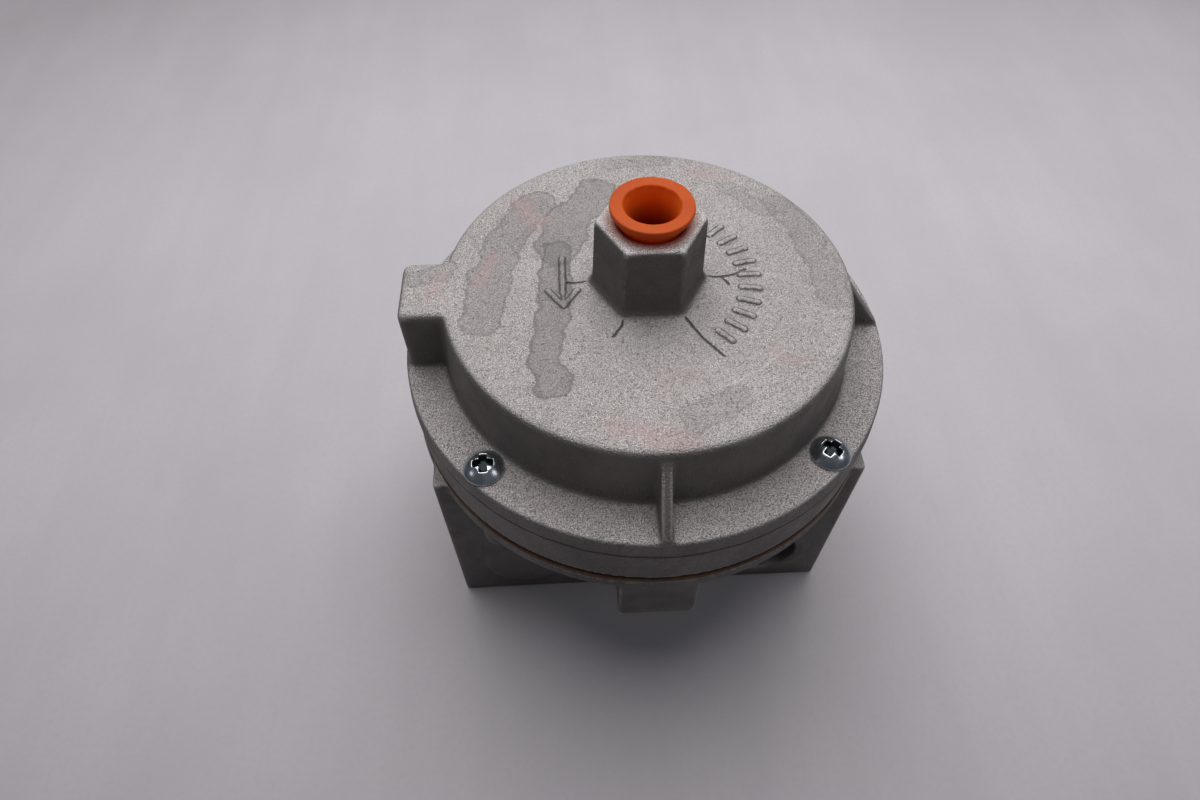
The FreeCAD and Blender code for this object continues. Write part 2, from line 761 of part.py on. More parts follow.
def make_valve_seat():
    """Brass seat screwed in from below, with a raised nozzle, a ring groove and a hexagon socket."""
    body = new_body("valve_seat")
    groove_high = dim("seat_top") - dim("seat_groove_drop")
    groove_low = groove_high - dim("seat_groove_width")
    groove_radius = dim("seat_radius") - dim("seat_groove_depth")
    bore = dim("nozzle_bore_radius")
    fine = dim("fine_break")
    revolve(body, "turned", [
        (bore, dim("seat_bottom")),
        (dim("seat_radius"), dim("seat_bottom")),
        (dim("seat_radius"), groove_low),
        (groove_radius, groove_low),
        (groove_radius, groove_high),
        (dim("seat_radius"), groove_high),
        (dim("seat_radius"), dim("seat_top")),
        (dim("nozzle_radius") + dim("nozzle_flare"), dim("seat_top")),
        (dim("nozzle_radius"), NOZZLE_TOP),
        (bore + fine, NOZZLE_TOP),
        (bore, NOZZLE_TOP - fine),
    ])
    socket_corners = polygon_corners(dim("seat_radius") * dim("seat_socket_factor"), 6)
    socket = outline_sketch(body, "socket_outline", "XY_Plane", socket_corners, dim("seat_bottom"))
    extrude(body, "socket", socket, dim("seat_socket_depth"), "PartDesign::Pocket", flipped=True)


def make_seat_o_ring():
    ring = doc.addObject("Part::Torus", "seat_o_ring")
    bind(ring, "Radius1", dim("seat_ring_radius"))
    bind(ring, "Radius2", dim("seat_ring_section"))
    place(ring, ZERO, ZERO, dim("seat_top") - dim("seat_ring_drop"))


def make_poppet():
    """Brass valve: stem, cup that holds the seal, guide with three flats, spigot for the spring."""
    body = new_body("poppet")
    stem_bottom = HEAD_TOP + dim("small_gap")
    stem = dim("stem_radius")
    fine = dim("fine_break")
    cup_radius = dim("seal_radius") + dim("small_gap")
    cup_mouth = SEAL_TOP - dim("seal_cup_depth")
    spigot_top = dim("poppet_top") + dim("poppet_spigot_height")
    revolve(body, "turned", [
        (ZERO, stem_bottom),
        (stem - fine, stem_bottom),
        (stem, stem_bottom + fine),
        (stem, SEAL_TOP),
        (cup_radius, SEAL_TOP),
        (cup_radius, cup_mouth),
        (dim("poppet_radius"), cup_mouth),
        (dim("poppet_radius"), dim("poppet_top")),
        (dim("poppet_spigot_radius"), dim("poppet_top")),
        (dim("poppet_spigot_radius"), spigot_top),
        (ZERO, spigot_top),
    ])
    across_flat = dim("poppet_flat_distance")
    half_width = dim("poppet_radius")
    for index in range(3):
        angle = math.radians(120 * index)
        flat = body.newObject("PartDesign::SubtractiveBox", f"flat_{index}")
        bind(flat, "Length", dim("overlap") * 2)
        bind(flat, "Width", half_width * 2)
        bind(flat, "Height", spigot_top - SEAL_BOTTOM)
        place(flat, across_flat * math.cos(angle) + half_width * math.sin(angle),
              across_flat * math.sin(angle) - half_width * math.cos(angle), SEAL_BOTTOM,
              FreeCAD.Rotation(FreeCAD.Vector(0, 0, 1), 120 * index))


def make_poppet_seal():
    body = new_body("poppet_seal")
    hole = dim("stem_radius") + dim("small_gap")
    seal_top = SEAL_TOP - dim("seal_gap")
    revolve(body, "disc", [
        (hole, SEAL_BOTTOM),
        (dim("seal_radius"), SEAL_BOTTOM),
        (dim("seal_radius"), seal_top),
        (hole, seal_top),
    ])


def make_coil(label, coil_radius, wire_radius, bottom, top, coils):
    """A helical spring between two heights, swept half a turn at a time."""
    travel = top - bottom - wire_radius * 2 - dim("small_gap") * 2
    helix = doc.addObject("Part::Helix", label + "_line")
    bind(helix, "Radius", coil_radius)
    bind(helix, "Height", travel)
    bind(helix, "Pitch", travel / coils)
    bind(helix, "SegmentLength", dim("sweep_segment"))
    wire = doc.addObject("Part::Circle", label + "_section")
    wire.Placement = FreeCAD.Placement(FreeCAD.Vector(coil_radius.amount, 0, 0),
                                       FreeCAD.Rotation(FreeCAD.Vector(1, 0, 0), 90))
    bind(wire, "Radius", wire_radius)
    bind(wire, "Placement.Base.x", coil_radius)
    segments = round(coils.amount / dim("sweep_segment").amount)
    coil = doc.addObject("Part::Sweep", label)
    coil.Sections = [wire]
    coil.Spine = (helix, [f"Edge{number}" for number in range(1, segments + 1)])
    coil.Solid = True
    coil.Frenet = True
    place(coil, ZERO, ZERO, bottom + wire_radius + dim("small_gap"))
    coil.Label = label


# ---- diaphragm assembly ----

def make_upper_plate():
    body = new_body("upper_plate")
    hole = dim("centre_screw_radius") + dim("small_gap")
    outer = dim("plate_radius")
    step = dim("plate_rim_step")
    inner = outer - dim("plate_rim_width")
    revolve(body, "dish", [
        (hole, DISC_TOP),
        (outer - dim("large_break"), DISC_TOP),
        (outer, DISC_TOP + step),
        (outer, UPPER_PLATE_TOP + step),
        (inner, UPPER_PLATE_TOP + step),
        (inner - step, UPPER_PLATE_TOP),
        (hole, UPPER_PLATE_TOP),
    ])


def make_lower_plate():
    """Diaphragm plate with a turned-down rim and a raised ring that centres the spring."""
    body = new_body("lower_plate")
    hole = dim("centre_screw_radius") + dim("small_gap")
    outer = dim("plate_radius")
    step = dim("plate_rim_step")
    inner = outer - dim("plate_rim_width")
    guide = dim("range_coil_radius") + dim("range_wire_radius") + dim("spring_guide_gap")
    guide_outer = guide + dim("spring_guide_width")
    guide_bottom = LOWER_PLATE_BOTTOM - dim("spring_guide_height")
    revolve(body, "dish", [
        (hole, LOWER_PLATE_BOTTOM),
        (guide, LOWER_PLATE_BOTTOM),
        (guide, guide_bottom),
        (guide_outer, guide_bottom),
        (guide_outer, LOWER_PLATE_BOTTOM),
        (inner, LOWER_PLATE_BOTTOM),
        (inner, LOWER_PLATE_BOTTOM - step),
        (outer, LOWER_PLATE_BOTTOM - step),
        (outer, DISC_BOTTOM - step),
        (outer - step, DISC_BOTTOM),
        (hole, DISC_BOTTOM),
    ])


def make_diaphragm_screw():
    body = new_body("diaphragm_screw")
    head = dim("centre_screw_head_radius")
    shank = dim("centre_screw_radius")
    small = dim("small_break")
    large = dim("large_break")
    end = NUT_BOTTOM - large
    revolve(body, "turned", [
        (ZERO, end),
        (shank - small, end),
        (shank, end + small),
        (shank, UPPER_PLATE_TOP),
        (head, UPPER_PLATE_TOP),
        (head, HEAD_TOP - large),
        (head - large, HEAD_TOP),
        (ZERO, HEAD_TOP),
    ])


def make_lock_washer():
    """Split spring washer under the nut."""
    body = new_body("lock_washer")
    hole = dim("centre_screw_radius") + dim("small_gap")
    revolve(body, "ring", [
        (hole, WASHER_BOTTOM),
        (dim("washer_radius"), WASHER_BOTTOM),
        (dim("washer_radius"), LOWER_PLATE_BOTTOM),
        (hole, LOWER_PLATE_BOTTOM),
    ])
    overlap = dim("overlap")
    half_split = dim("washer_half_split")
    box(body, "split", (hole - overlap, -half_split, WASHER_BOTTOM - overlap),
        (dim("washer_radius") + overlap, half_split, LOWER_PLATE_BOTTOM + overlap), cut=True)


def make_nut(label, corner_radius, height, bottom, bore):
    """Hexagon nut with chamfered corners."""
    body = new_body(label)
    outline = outline_sketch(body, label + "_hexagon", "XY_Plane",
                             polygon_corners(corner_radius, 6), bottom)
    extrude(body, label + "_blank", outline, height)
    overlap = dim("overlap")
    depth = corner_radius * dim("nut_chamfer_factor")
    for name, face, inward in (("top", bottom + height, -1), ("bottom", bottom, 1)):
        cut_round(body, f"{label}_{name}_chamfer", [
            (corner_radius - depth, face),
            (corner_radius + depth, face + depth * inward),
            (corner_radius + depth, face),
        ])
    cylinder(body, label + "_bore", bore, height + overlap * 2, (ZERO, ZERO, bottom - overlap),
             cut=True)


# ---- adjustment and vent ----

def make_spring_seat():
    """Spring button with a pilot inside the coil and a dimple for the screw's tip."""
    body = new_body("spring_seat")
    bottom = dim("spring_seat_bottom")
    dimple = dim("adjusting_screw_radius") + dim("screw_dimple_gap")
    dimple_top = dim("adjusting_screw_top") + dim("small_gap")
    outer = dim("spring_seat_radius")
    pilot = dim("spring_pilot_radius")
    pilot_top = SPRING_SEAT_TOP + dim("spring_pilot_height")
    edge = dim("edge_break")
    revolve(body, "button", [
        (ZERO, dimple_top),
        (dimple, dimple_top),
        (dimple, bottom),
        (outer - edge, bottom),
        (outer, bottom + edge),
        (outer, SPRING_SEAT_TOP),
        (pilot, SPRING_SEAT_TOP),
        (pilot - dim("spring_pilot_taper"), pilot_top),
        (ZERO, pilot_top),
    ])


def make_adjusting_screw():
    body = new_body("adjusting_screw")
    radius = dim("adjusting_screw_radius")
    bottom = dim("adjusting_screw_bottom")
    top = dim("adjusting_screw_top")
    edge = dim("edge_break")
    large = dim("large_break")
    revolve(body, "rod", [
        (ZERO, bottom),
        (radius - edge, bottom),
        (radius, bottom + edge),
        (radius, top - large),
        (radius - large, top),
        (ZERO, top),
    ])
    overlap = dim("overlap")
    half_slot = dim("adjusting_slot_half_width")
    box(body, "slot", (-radius - overlap, -half_slot, bottom - overlap),
        (radius + overlap, half_slot, bottom + dim("adjusting_slot_depth")), cut=True)


def make_vent_screen():
    """Mesh disc in the ledge at the bottom of the vent port."""
    screen = doc.addObject("Part::Cylinder", "vent_screen")
    bind(screen, "Radius", dim("vent_ledge_radius") - dim("small_gap"))
    bind(screen, "Height", dim("screen_thickness"))
    port_floor = -dim("body_half_depth") - dim("port_pad_thickness") + dim("vent_port_depth")
    place(screen, dim("port_offset"), port_floor, dim("port_height"), ALONG_Y)


make_lower_body()
make_cover()
make_gasket()
make_diaphragm()
make_cover_screws()
make_inlet_plug()
make_spring_retainer()
make_inlet_screen()
make_screen_ring()
make_valve_seat()
make_seat_o_ring()
make_poppet()
make_poppet_seal()
make_coil("valve_spring", dim("valve_coil_radius"), dim("valve_wire_radius"),
          dim("poppet_top"), dim("inlet_bore_bottom"), dim("valve_spring_coils"))
make_upper_plate()
make_lower_plate()
make_diaphragm_screw()
make_lock_washer()
make_nut("diaphragm_nut", dim("centre_nut_corner_radius"), dim("centre_nut_height"), NUT_BOTTOM,
         dim("centre_screw_radius") + dim("small_gap"))
make_coil("range_spring", dim("range_coil_radius"), dim("range_wire_radius"),
          SPRING_SEAT_TOP, LOWER_PLATE_BOTTOM, dim("range_spring_coils"))
make_spring_seat()
make_adjusting_screw()
make_nut("lock_nut", dim("lock_nut_corner_radius"), dim("lock_nut_height"),
         dim("tower_floor_bottom") - dim("lock_nut_height") - dim("small_gap"),
         dim("adjusting_screw_radius") + dim("small_gap"))
make_vent_screen()

NODES = [
    "cover", "lower_body", "flange_gasket", "diaphragm", "cover_screws", "inlet_plug",
    "inlet_screen", "screen_ring", "spring_retainer", "valve_spring", "poppet", "poppet_seal",
    "valve_seat", "seat_o_ring", "upper_plate", "lower_plate", "diaphragm_screw", "lock_washer",
    "diaphragm_nut", "range_spring", "spring_seat", "adjusting_screw", "lock_nut", "vent_screen",
]

doc.recompute()
broken = [item.Label for item in doc.Objects if {"Invalid", "Error"} & set(item.State)]
if broken:
    raise RuntimeError("features that failed: " + ", ".join(broken))
for node in NODES:
    shape = doc.getObject(node).Shape
    if shape.isNull() or not shape.isValid():
        raise RuntimeError("no valid shape: " + node)

os.makedirs("parts", exist_ok=True)
for node in NODES:
    doc.getObject(node).Shape.exportStep(f"parts/{node}.step")
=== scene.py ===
import math

import bmesh
import bpy
import numpy as np
from mathutils import Matrix, Vector, noise


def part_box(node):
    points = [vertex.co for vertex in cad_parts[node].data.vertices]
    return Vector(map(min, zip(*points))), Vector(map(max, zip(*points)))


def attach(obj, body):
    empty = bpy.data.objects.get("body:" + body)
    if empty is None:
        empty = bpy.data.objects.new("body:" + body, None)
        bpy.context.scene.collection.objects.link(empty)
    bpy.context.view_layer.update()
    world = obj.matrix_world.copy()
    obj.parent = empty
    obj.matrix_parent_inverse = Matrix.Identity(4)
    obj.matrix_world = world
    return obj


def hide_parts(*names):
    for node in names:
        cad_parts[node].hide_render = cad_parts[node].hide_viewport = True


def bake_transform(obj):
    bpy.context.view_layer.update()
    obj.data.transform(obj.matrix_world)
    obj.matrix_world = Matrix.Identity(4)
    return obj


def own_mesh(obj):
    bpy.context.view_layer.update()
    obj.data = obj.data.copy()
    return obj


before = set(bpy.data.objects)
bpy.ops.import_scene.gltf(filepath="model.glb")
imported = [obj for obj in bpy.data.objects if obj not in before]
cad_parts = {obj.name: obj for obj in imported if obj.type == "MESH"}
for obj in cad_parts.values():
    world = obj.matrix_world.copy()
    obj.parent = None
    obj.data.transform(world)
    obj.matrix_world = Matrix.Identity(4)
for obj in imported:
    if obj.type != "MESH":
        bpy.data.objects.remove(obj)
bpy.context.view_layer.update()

# An air pressure regulator, built round its design model. Lengths are in millimetres where a name
# doesn't say otherwise, and MM turns them into metres.
MM = 0.001
SKIN_PASSES = 2  # smoothing passes over a remeshed skin
SKIN_KEEP_FACES = 0.6  # share of a casting's faces kept after them


# ---------------------------------------------------------------- geometry helpers

def new_mesh_object(name, verts, faces, smooth=True):
    """An object whose vertices are given in millimetres in the model's frame."""
    mesh = bpy.data.meshes.new(name)
    mesh.from_pydata([(x * MM, y * MM, z * MM) for x, y, z in verts], [], faces)
    mesh.validate()
    made = bpy.data.objects.new(name, mesh)
    bpy.context.scene.collection.objects.link(made)
    tidy_normals(made)
    if smooth:
        mesh.shade_smooth()
    return made


def tidy_normals(obj):
    shell = bmesh.new()
    shell.from_mesh(obj.data)
    bmesh.ops.recalc_face_normals(shell, faces=shell.faces)
    shell.to_mesh(obj.data)
    shell.free()


def lathe(profile, segments=96, wobble=0.0, seed=0.0):
    """Vertices and faces of a closed outline of (radius, height) turned about the main axis."""
    verts, faces = [], []
    count = len(profile)
    for step in range(segments):
        angle = 2 * math.pi * step / segments
        ca, sa = math.cos(angle), math.sin(angle)
        for radius, height in profile:
            shift = 0.0
            if wobble and radius > 1:
                shift = wobble * noise.noise(Vector((ca * 6 + seed, sa * 6, height * 0.4)))
            verts.append(((radius + shift) * ca, (radius + shift) * sa, height))
    for step in range(segments):
        here, there = step * count, (step + 1) % segments * count
        for index in range(count):
            after = (index + 1) % count
            faces.append((here + index, there + index, there + after, here + after))
    return verts, faces


def rounded(profile, radius, steps=3):
    """The outline with each corner replaced by a small arc."""
    out = []
    count = len(profile)
    for index, corner in enumerate(profile):
        here = Vector(corner)
        before = Vector(profile[index - 1]) - here
        after = Vector(profile[(index + 1) % count]) - here
        reach = min(radius, before.length * 0.45, after.length * 0.45)
        start, end = here + before.normalized() * reach, here + after.normalized() * reach
        for step in range(steps + 1):
            part = step / steps
            out.append(tuple(start.lerp(here, part).lerp(here.lerp(end, part), part)))
    return out


def tube(points, radius, sides):
    """A round wire with closed ends along points in millimetres."""
    pts = [Vector(point) for point in points]
    verts, faces = [], []
    normal = None
    for index, point in enumerate(pts):
        ahead = (pts[min(index + 1, len(pts) - 1)] - pts[max(index - 1, 0)]).normalized()
        if normal is None:
            normal = ahead.orthogonal().normalized()
        normal = (normal - ahead * normal.dot(ahead)).normalized()
        side = ahead.cross(normal)
        for turn in range(sides):
            angle = 2 * math.pi * turn / sides
            verts.append(point + (normal * math.cos(angle) + side * math.sin(angle)) * radius)
    for ring in range(len(pts) - 1):
        for turn in range(sides):
            after = (turn + 1) % sides
            faces.append((ring * sides + turn, ring * sides + after,
                          (ring + 1) * sides + after, (ring + 1) * sides + turn))
    faces.append(tuple(reversed(range(sides))))
    faces.append(tuple((len(pts) - 1) * sides + turn for turn in range(sides)))
    return [tuple(vert) for vert in verts], faces


def joined(*shells):
    """Several (verts, faces) pairs as one."""
    verts, faces = [], []
    for more_verts, more_faces in shells:
        start = len(verts)
        verts += more_verts
        faces += [tuple(start + index for index in face) for face in more_faces]
    return verts, faces


def apply_modifiers(obj):
    depsgraph = bpy.context.evaluated_depsgraph_get()
    depsgraph.update()
    made = bpy.data.meshes.new_from_object(obj.evaluated_get(depsgraph))
    obj.modifiers.clear()
    obj.data = made


def subtract(obj, cutter):
    """Cuts the cutter's solid out of obj and removes the cutter."""
    cut = obj.modifiers.new("cut", "BOOLEAN")
    cut.operation = "DIFFERENCE"
    cut.solver = "EXACT"
    cut.object = cutter
    apply_modifiers(obj)
    bpy.data.objects.remove(cutter)


def remesh(obj, voxel, passes, keep_faces=1.0):
    """Turns the closed shells of obj into one skin with softly rounded edges."""
    skin = obj.modifiers.new("skin", "REMESH")
    skin.mode = "VOXEL"
    skin.voxel_size = voxel * MM
    soften = obj.modifiers.new("soften", "SMOOTH")
    soften.factor = 0.5
    soften.iterations = passes
    if keep_faces < 1:
        thin = obj.modifiers.new("thin", "DECIMATE")
        thin.ratio = keep_faces
    apply_modifiers(obj)
    obj.data.shade_smooth()


def mark_edges(obj, spread=2):
    """Stores how convex the surface is at each vertex, for worn edges and painted shade in hollow
    corners.
    """
    mesh = obj.data
    count = len(mesh.vertices)
    place = np.empty(count * 3)
    mesh.vertices.foreach_get("co", place)
    place = place.reshape(-1, 3)
    facing = np.empty(count * 3)
    mesh.vertices.foreach_get("normal", facing)
    facing = facing.reshape(-1, 3)
    ends = np.empty(len(mesh.edges) * 2, int)
    mesh.edges.foreach_get("vertices", ends)
    ends = ends.reshape(-1, 2)
    along = place[ends[:, 1]] - place[ends[:, 0]]
    turn = facing[ends[:, 1]] - facing[ends[:, 0]]
    bend = (along * turn).sum(1) / np.maximum((along * along).sum(1), 1e-14) * MM
    degree = np.bincount(ends.ravel(), minlength=count).clip(1)

    def averaged(values):
        total = np.bincount(ends[:, 0], values, count) + np.bincount(ends[:, 1], values, count)
        return total / degree

    total = averaged(bend)
    for _ in range(spread):
        total = 0.5 * total + 0.5 * (
            np.bincount(ends[:, 0], total[ends[:, 1]], count)
            + np.bincount(ends[:, 1], total[ends[:, 0]], count)) / degree
    layer = mesh.attributes.new("bend", "FLOAT", "POINT")
    layer.data.foreach_set("value", total.astype(np.float32))


def skin_of(node, name, voxel, extras=()):
    """A softened copy of a casting, with raised details grown into it."""
    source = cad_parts[node]
    skin = bpy.data.objects.new(name, source.data.copy())
    bpy.context.scene.collection.objects.link(skin)
    skin.data.materials.clear()
    if extras:
        shell = bmesh.new()
        shell.from_mesh(skin.data)
        bmesh.ops.remove_doubles(shell, verts=shell.verts, dist=1e-7)
        for verts, faces in extras:
            made = [shell.verts.new((x * MM, y * MM, z * MM)) for x, y, z in verts]
            fresh = [shell.faces.new([made[index] for index in face]) for face in faces]
            bmesh.ops.recalc_face_normals(shell, faces=fresh)
        shell.to_mesh(skin.data)
        shell.free()
    remesh(skin, voxel, SKIN_PASSES, SKIN_KEEP_FACES)
    low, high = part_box(node)
    count = len(skin.data.vertices)
    place = np.empty(count * 3)
    skin.data.vertices.foreach_get("co", place)
    place = np.clip(place.reshape(-1, 3), low, high)
    skin.data.vertices.foreach_set("co", place.ravel())
    skin.data.update()
    mark_edges(skin)
    return skin


def finish_piece(obj, material, body, slot, *nodes):
    obj.data.materials.clear()
    obj.data.materials.append(material)
    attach(obj, body)
    if nodes:
        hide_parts(*nodes)


def size_of(node):
    """Lowest and highest corners of a CAD node, in millimetres."""
    low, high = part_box(node)
    return [value / MM for value in low], [value / MM for value in high]


# ---------------------------------------------------------------- material helpers

class Surface:
    """A node material put together call by call."""

    def __init__(self, name):
        self.material = bpy.data.materials.new(name)
        self.material.use_nodes = True
        self.tree = self.material.node_tree
        self.tree.nodes.clear()
        self.place = self.add("ShaderNodeTexCoord").outputs["Object"]

    def add(self, kind, **settings):
        node = self.tree.nodes.new(kind)
        for key, value in settings.items():
            setattr(node, key, value)
        return node

    def feed(self, socket, value):
        if isinstance(value, bpy.types.NodeSocket):
            self.tree.links.new(value, socket)
        else:
            socket.default_value = value

    def maths(self, operation, first, second=0.0, third=0.0):
        node = self.add("ShaderNodeMath", operation=operation)
        for socket, value in zip(node.inputs, (first, second, third)):
            self.feed(socket, value)
        return node.outputs[0]

    def vector(self, operation, first, second=(0, 0, 0), scale=None):
        node = self.add("ShaderNodeVectorMath", operation=operation)
        self.feed(node.inputs[0], first)
        self.feed(node.inputs[1], second)
        if scale is not None:
            self.feed(node.inputs["Scale"], scale)
        name = "Value" if operation in ("DOT_PRODUCT", "LENGTH", "DISTANCE") else "Vector"
        return node.outputs[name]

    def noise(self, scale, detail=2.0, rough=0.5, where=None, colour=False, stretch=None):
        where = self.place if where is None else where
        if stretch:
            where = self.vector("MULTIPLY", where, stretch)
        node = self.add("ShaderNodeTexNoise")
        self.feed(node.inputs["Vector"], where)
        node.inputs["Scale"].default_value = scale
        node.inputs["Detail"].default_value = detail
        node.inputs["Roughness"].default_value = rough
        return node.outputs["Color" if colour else "Fac"]

    def cells(self, scale):
        node = self.add("ShaderNodeTexVoronoi")
        self.feed(node.inputs["Vector"], self.place)
        node.inputs["Scale"].default_value = scale
        return node.outputs["Distance"]

    def band(self, value, low, high, start=0.0, end=1.0):
        """Value carried from low..high to start..end, smoothly and clamped."""
        node = self.add("ShaderNodeMapRange", interpolation_type="SMOOTHSTEP")
        for socket, number in zip(node.inputs, (value, low, high, start, end)):
            self.feed(socket, number)
        return node.outputs[0]

    def mix(self, share, first, second):
        node = self.add("ShaderNodeMix", data_type="RGBA")
        self.feed(node.inputs["Factor"], share)
        self.feed(node.inputs[6], first)
        self.feed(node.inputs[7], second)
        return node.outputs[2]

    def bump(self, height, strength, depth_mm):
        node = self.add("ShaderNodeBump")
        node.inputs["Strength"].default_value = strength
        node.inputs["Distance"].default_value = depth_mm * MM
        self.feed(node.inputs["Height"], height)
        return node.outputs[0]

    def near_line(self, where, points):
        """Distance in metres from a broken line of points in millimetres."""
        nearest = None
        for first, second in zip(points, points[1:]):
            start = Vector(first) * MM
            span = Vector(second) * MM - start
            away = self.vector("SUBTRACT", where, tuple(start))
            share = self.vector("DOT_PRODUCT", away, tuple(span / span.length_squared))
            share = self.maths("MINIMUM", self.maths("MAXIMUM", share, 0.0), 1.0)
            foot = self.vector("SCALE", tuple(span), scale=share)
            distance = self.vector("LENGTH", self.vector("SUBTRACT", away, foot))
            nearest = distance if nearest is None else self.maths("MINIMUM", nearest, distance)
        return nearest

    def near_strokes(self, where, strokes):
        """Distance in metres from the nearest of several broken lines."""
        nearest = self.near_line(where, strokes[0])
        for stroke in strokes[1:]:
            nearest = self.maths("MINIMUM", nearest, self.near_line(where, stroke))
        return nearest

    def bent(self, scale, amount_mm, detail=2.0):
        """Coordinates pushed about by noise, for uneven edges."""
        drift = self.vector("SUBTRACT", self.noise(scale, detail, colour=True), (0.5, 0.5, 0.5))
        return self.vector("ADD", self.place, self.vector("SCALE", drift, scale=2 * amount_mm * MM))

    def finish(self, colour, metallic, rough, normal, **extra):
        shader = self.add("ShaderNodeBsdfPrincipled")
        output = self.add("ShaderNodeOutputMaterial")
        self.feed(shader.inputs["Base Color"], colour)
        self.feed(shader.inputs["Metallic"], metallic)
        self.feed(shader.inputs["Roughness"], rough)
        self.feed(shader.inputs["Normal"], normal)
        for key, value in extra.items():
            self.feed(shader.inputs[key.replace("_", " ")], value)
        self.feed(output.inputs["Surface"], shader.outputs[0])
        return self.material


def grey(value, warm=0.0):
    return (value * (1 + warm), value, value * (1 - warm), 1.0)


def flat(points, level):
    """Points of (x, y), all given the same height."""
    return [(x, y, level) for x, y in points]


# ---------------------------------------------------------------- materials

cover_low, cover_high = size_of("cover")
dome_top = 83.7
flange_top = 69.0
PARTING = 64.8  # height of the cover's parting line

# What the dome's top shows: (x, y) points from the main axis. Fine cracks come first.
VEINS = [
    [(5.7, -8.9), (7, -11.5), (9, -15.3), (11, -18.1), (12.3, -19.8)],
    [(11.6, 0.3), (14.3, 0.2), (17, 0.6), (19.6, 1.9)],
    [(14.7, 0.2), (15.8, -1.8)],
    [(-11.3, 0), (-12.3, 0.1), (-14.2, -0.1), (-15.8, 0), (-16.8, -1.1)],
    [(-5.1, -9.7), (-5.8, -11.7), (-7.4, -14.1)],
]
# Water stains: strokes, half width and depth of colour.
STAINS = [
    ([((-8.5, 27), (-14.6, 19.5)), ((-14.6, 19.5), (-17.6, 9))], 4.6, 0.40),
    ([((-17.6, 9), (-18.4, -8)), ((-18.4, -8), (-20.6, -19.5)), ((-19.9, -19.5), (-18.7, -24.5))],
     3.4, 0.46),
    ([((-21.5, 24), (-28.5, 12)), ((-28.5, 12), (-30.6, 2)), ((-30.6, 2), (-32.4, -9))], 4.2, 0.34),
    ([((-40, 4.5), (-46, 2.5))], 2.6, 0.22),
    ([((29.5, 21), (34.5, 9)), ((34.5, 9), (35.5, -6))], 3.2, 0.24),
    ([((4.5, -33.5), (13.5, -29.5))], 2.9, 0.21),
    ([((20, 27), (27, 19))], 2.4, 0.18),
    ([((-6, 36.5), (7, 37))], 1.8, 0.18),
]
# Rust tints: start, end and half width.
TINTS = [((-25, 24), (-21, 18), 3.6), ((-8, -34), (4, -38), 4.2), ((-33, 1), (-30, 8), 2.6),
         ((22, -19.5), (26.5, -21.5), 2.2), ((-43, -2), (-40, 3), 2.4), ((12, 33), (20, 31), 2.6)]
ARROW = [[(-16.6, 6.6), (-16.6, -5.6)], [(-19.4, -2.2), (-16.6, -6.2)],
         [(-13.8, -2.2), (-16.6, -6.2)]]
BAR_ANGLES = (41, 31, 21, 11, 1, -9, -19, -29, -39, -49)


def around_axis(angle, radius):
    """The (x, y) point at an angle in degrees."""
    return radius * math.cos(math.radians(angle)), radius * math.sin(math.radians(angle))


BAR_INNER, BAR_OUTER = 18.4, 21.8
MARKS = ARROW + [[around_axis(angle, BAR_INNER), around_axis(angle, BAR_OUTER)]
                 for angle in BAR_ANGLES]
MARK_HALF_WIDTH = 0.6
MARK_RISE, MARK_ROOT = 0.6, 1.0  # above the dome's top, and below it
SCRATCH = [(10.5, -27.4), (18.3, -23.3), (23.6, -18.9), (26.9, -21.0)]


# Heights and distances from the axis, in metres, between which a detail fades.
DOME_BAND = (0.0822, 0.0831)
LEDGE_BAND = (0.076, 0.071)
LIP_BAND = (0.0962, 0.0978)
HEXAGON_WALL_SHADE = (0.012, 0.018)
PLUG_GLOW_REACH = (0.0092, 0.0068)
FLANGE_EDGE = (0.0485, 0.0492)
PLUG_BORE = (0.0054, 0.0051)
BORE_GLOW_HEIGHTS = (0.0935, 0.1014)
UNDER_RIM_GLOW = (0.1013, 0.1003)
TOP_FACING = (0.6, 0.94)  # upward part of the normal, from a wall to a top face; walls take painted shade


def upright(s, arrow):
    """The upward part of a vector: a point's height in metres, or how far a normal faces up."""
    return s.vector("DOT_PRODUCT", arrow, (0, 0, 1))


def from_axis(s):
    """Distance from the main axis in metres."""
    return s.vector("LENGTH", s.vector("MULTIPLY", s.place, (1, 1, 0)))


def both(s, first, second):
    """Product of two shares."""
    return s.maths("MULTIPLY", first, second)


def water_stains(s, tone, colour, top):
    """Grey pools with darker dried rims, and faint rust tints between them."""
    edge = s.bent(190, 2.6, 5)
    for strokes, width, depth in STAINS:
        away = s.near_strokes(edge, [flat(stroke, dome_top) for stroke in strokes])
        inside = s.band(away, (width + 0.2) * MM, (width - 0.3) * MM)
        rim = s.maths("SUBTRACT", inside, s.band(away, (width - 0.2) * MM, (width - 0.9) * MM))
        colour = s.mix(both(s, both(s, inside, depth), top), colour, grey(tone * 0.42, 0.02))
        colour = s.mix(both(s, both(s, rim, depth * 0.9), top), colour, grey(tone * 0.25, 0.04))
    for start, end, width in TINTS:
        away = s.near_line(s.bent(240, 2.4, 4), flat([start, end], dome_top))
        share = both(s, both(s, s.band(away, width * MM, 0.0), top), 0.3)
        colour = s.mix(share, colour, (tone * 1.12, tone * 0.72, tone * 0.7, 1))
    return colour


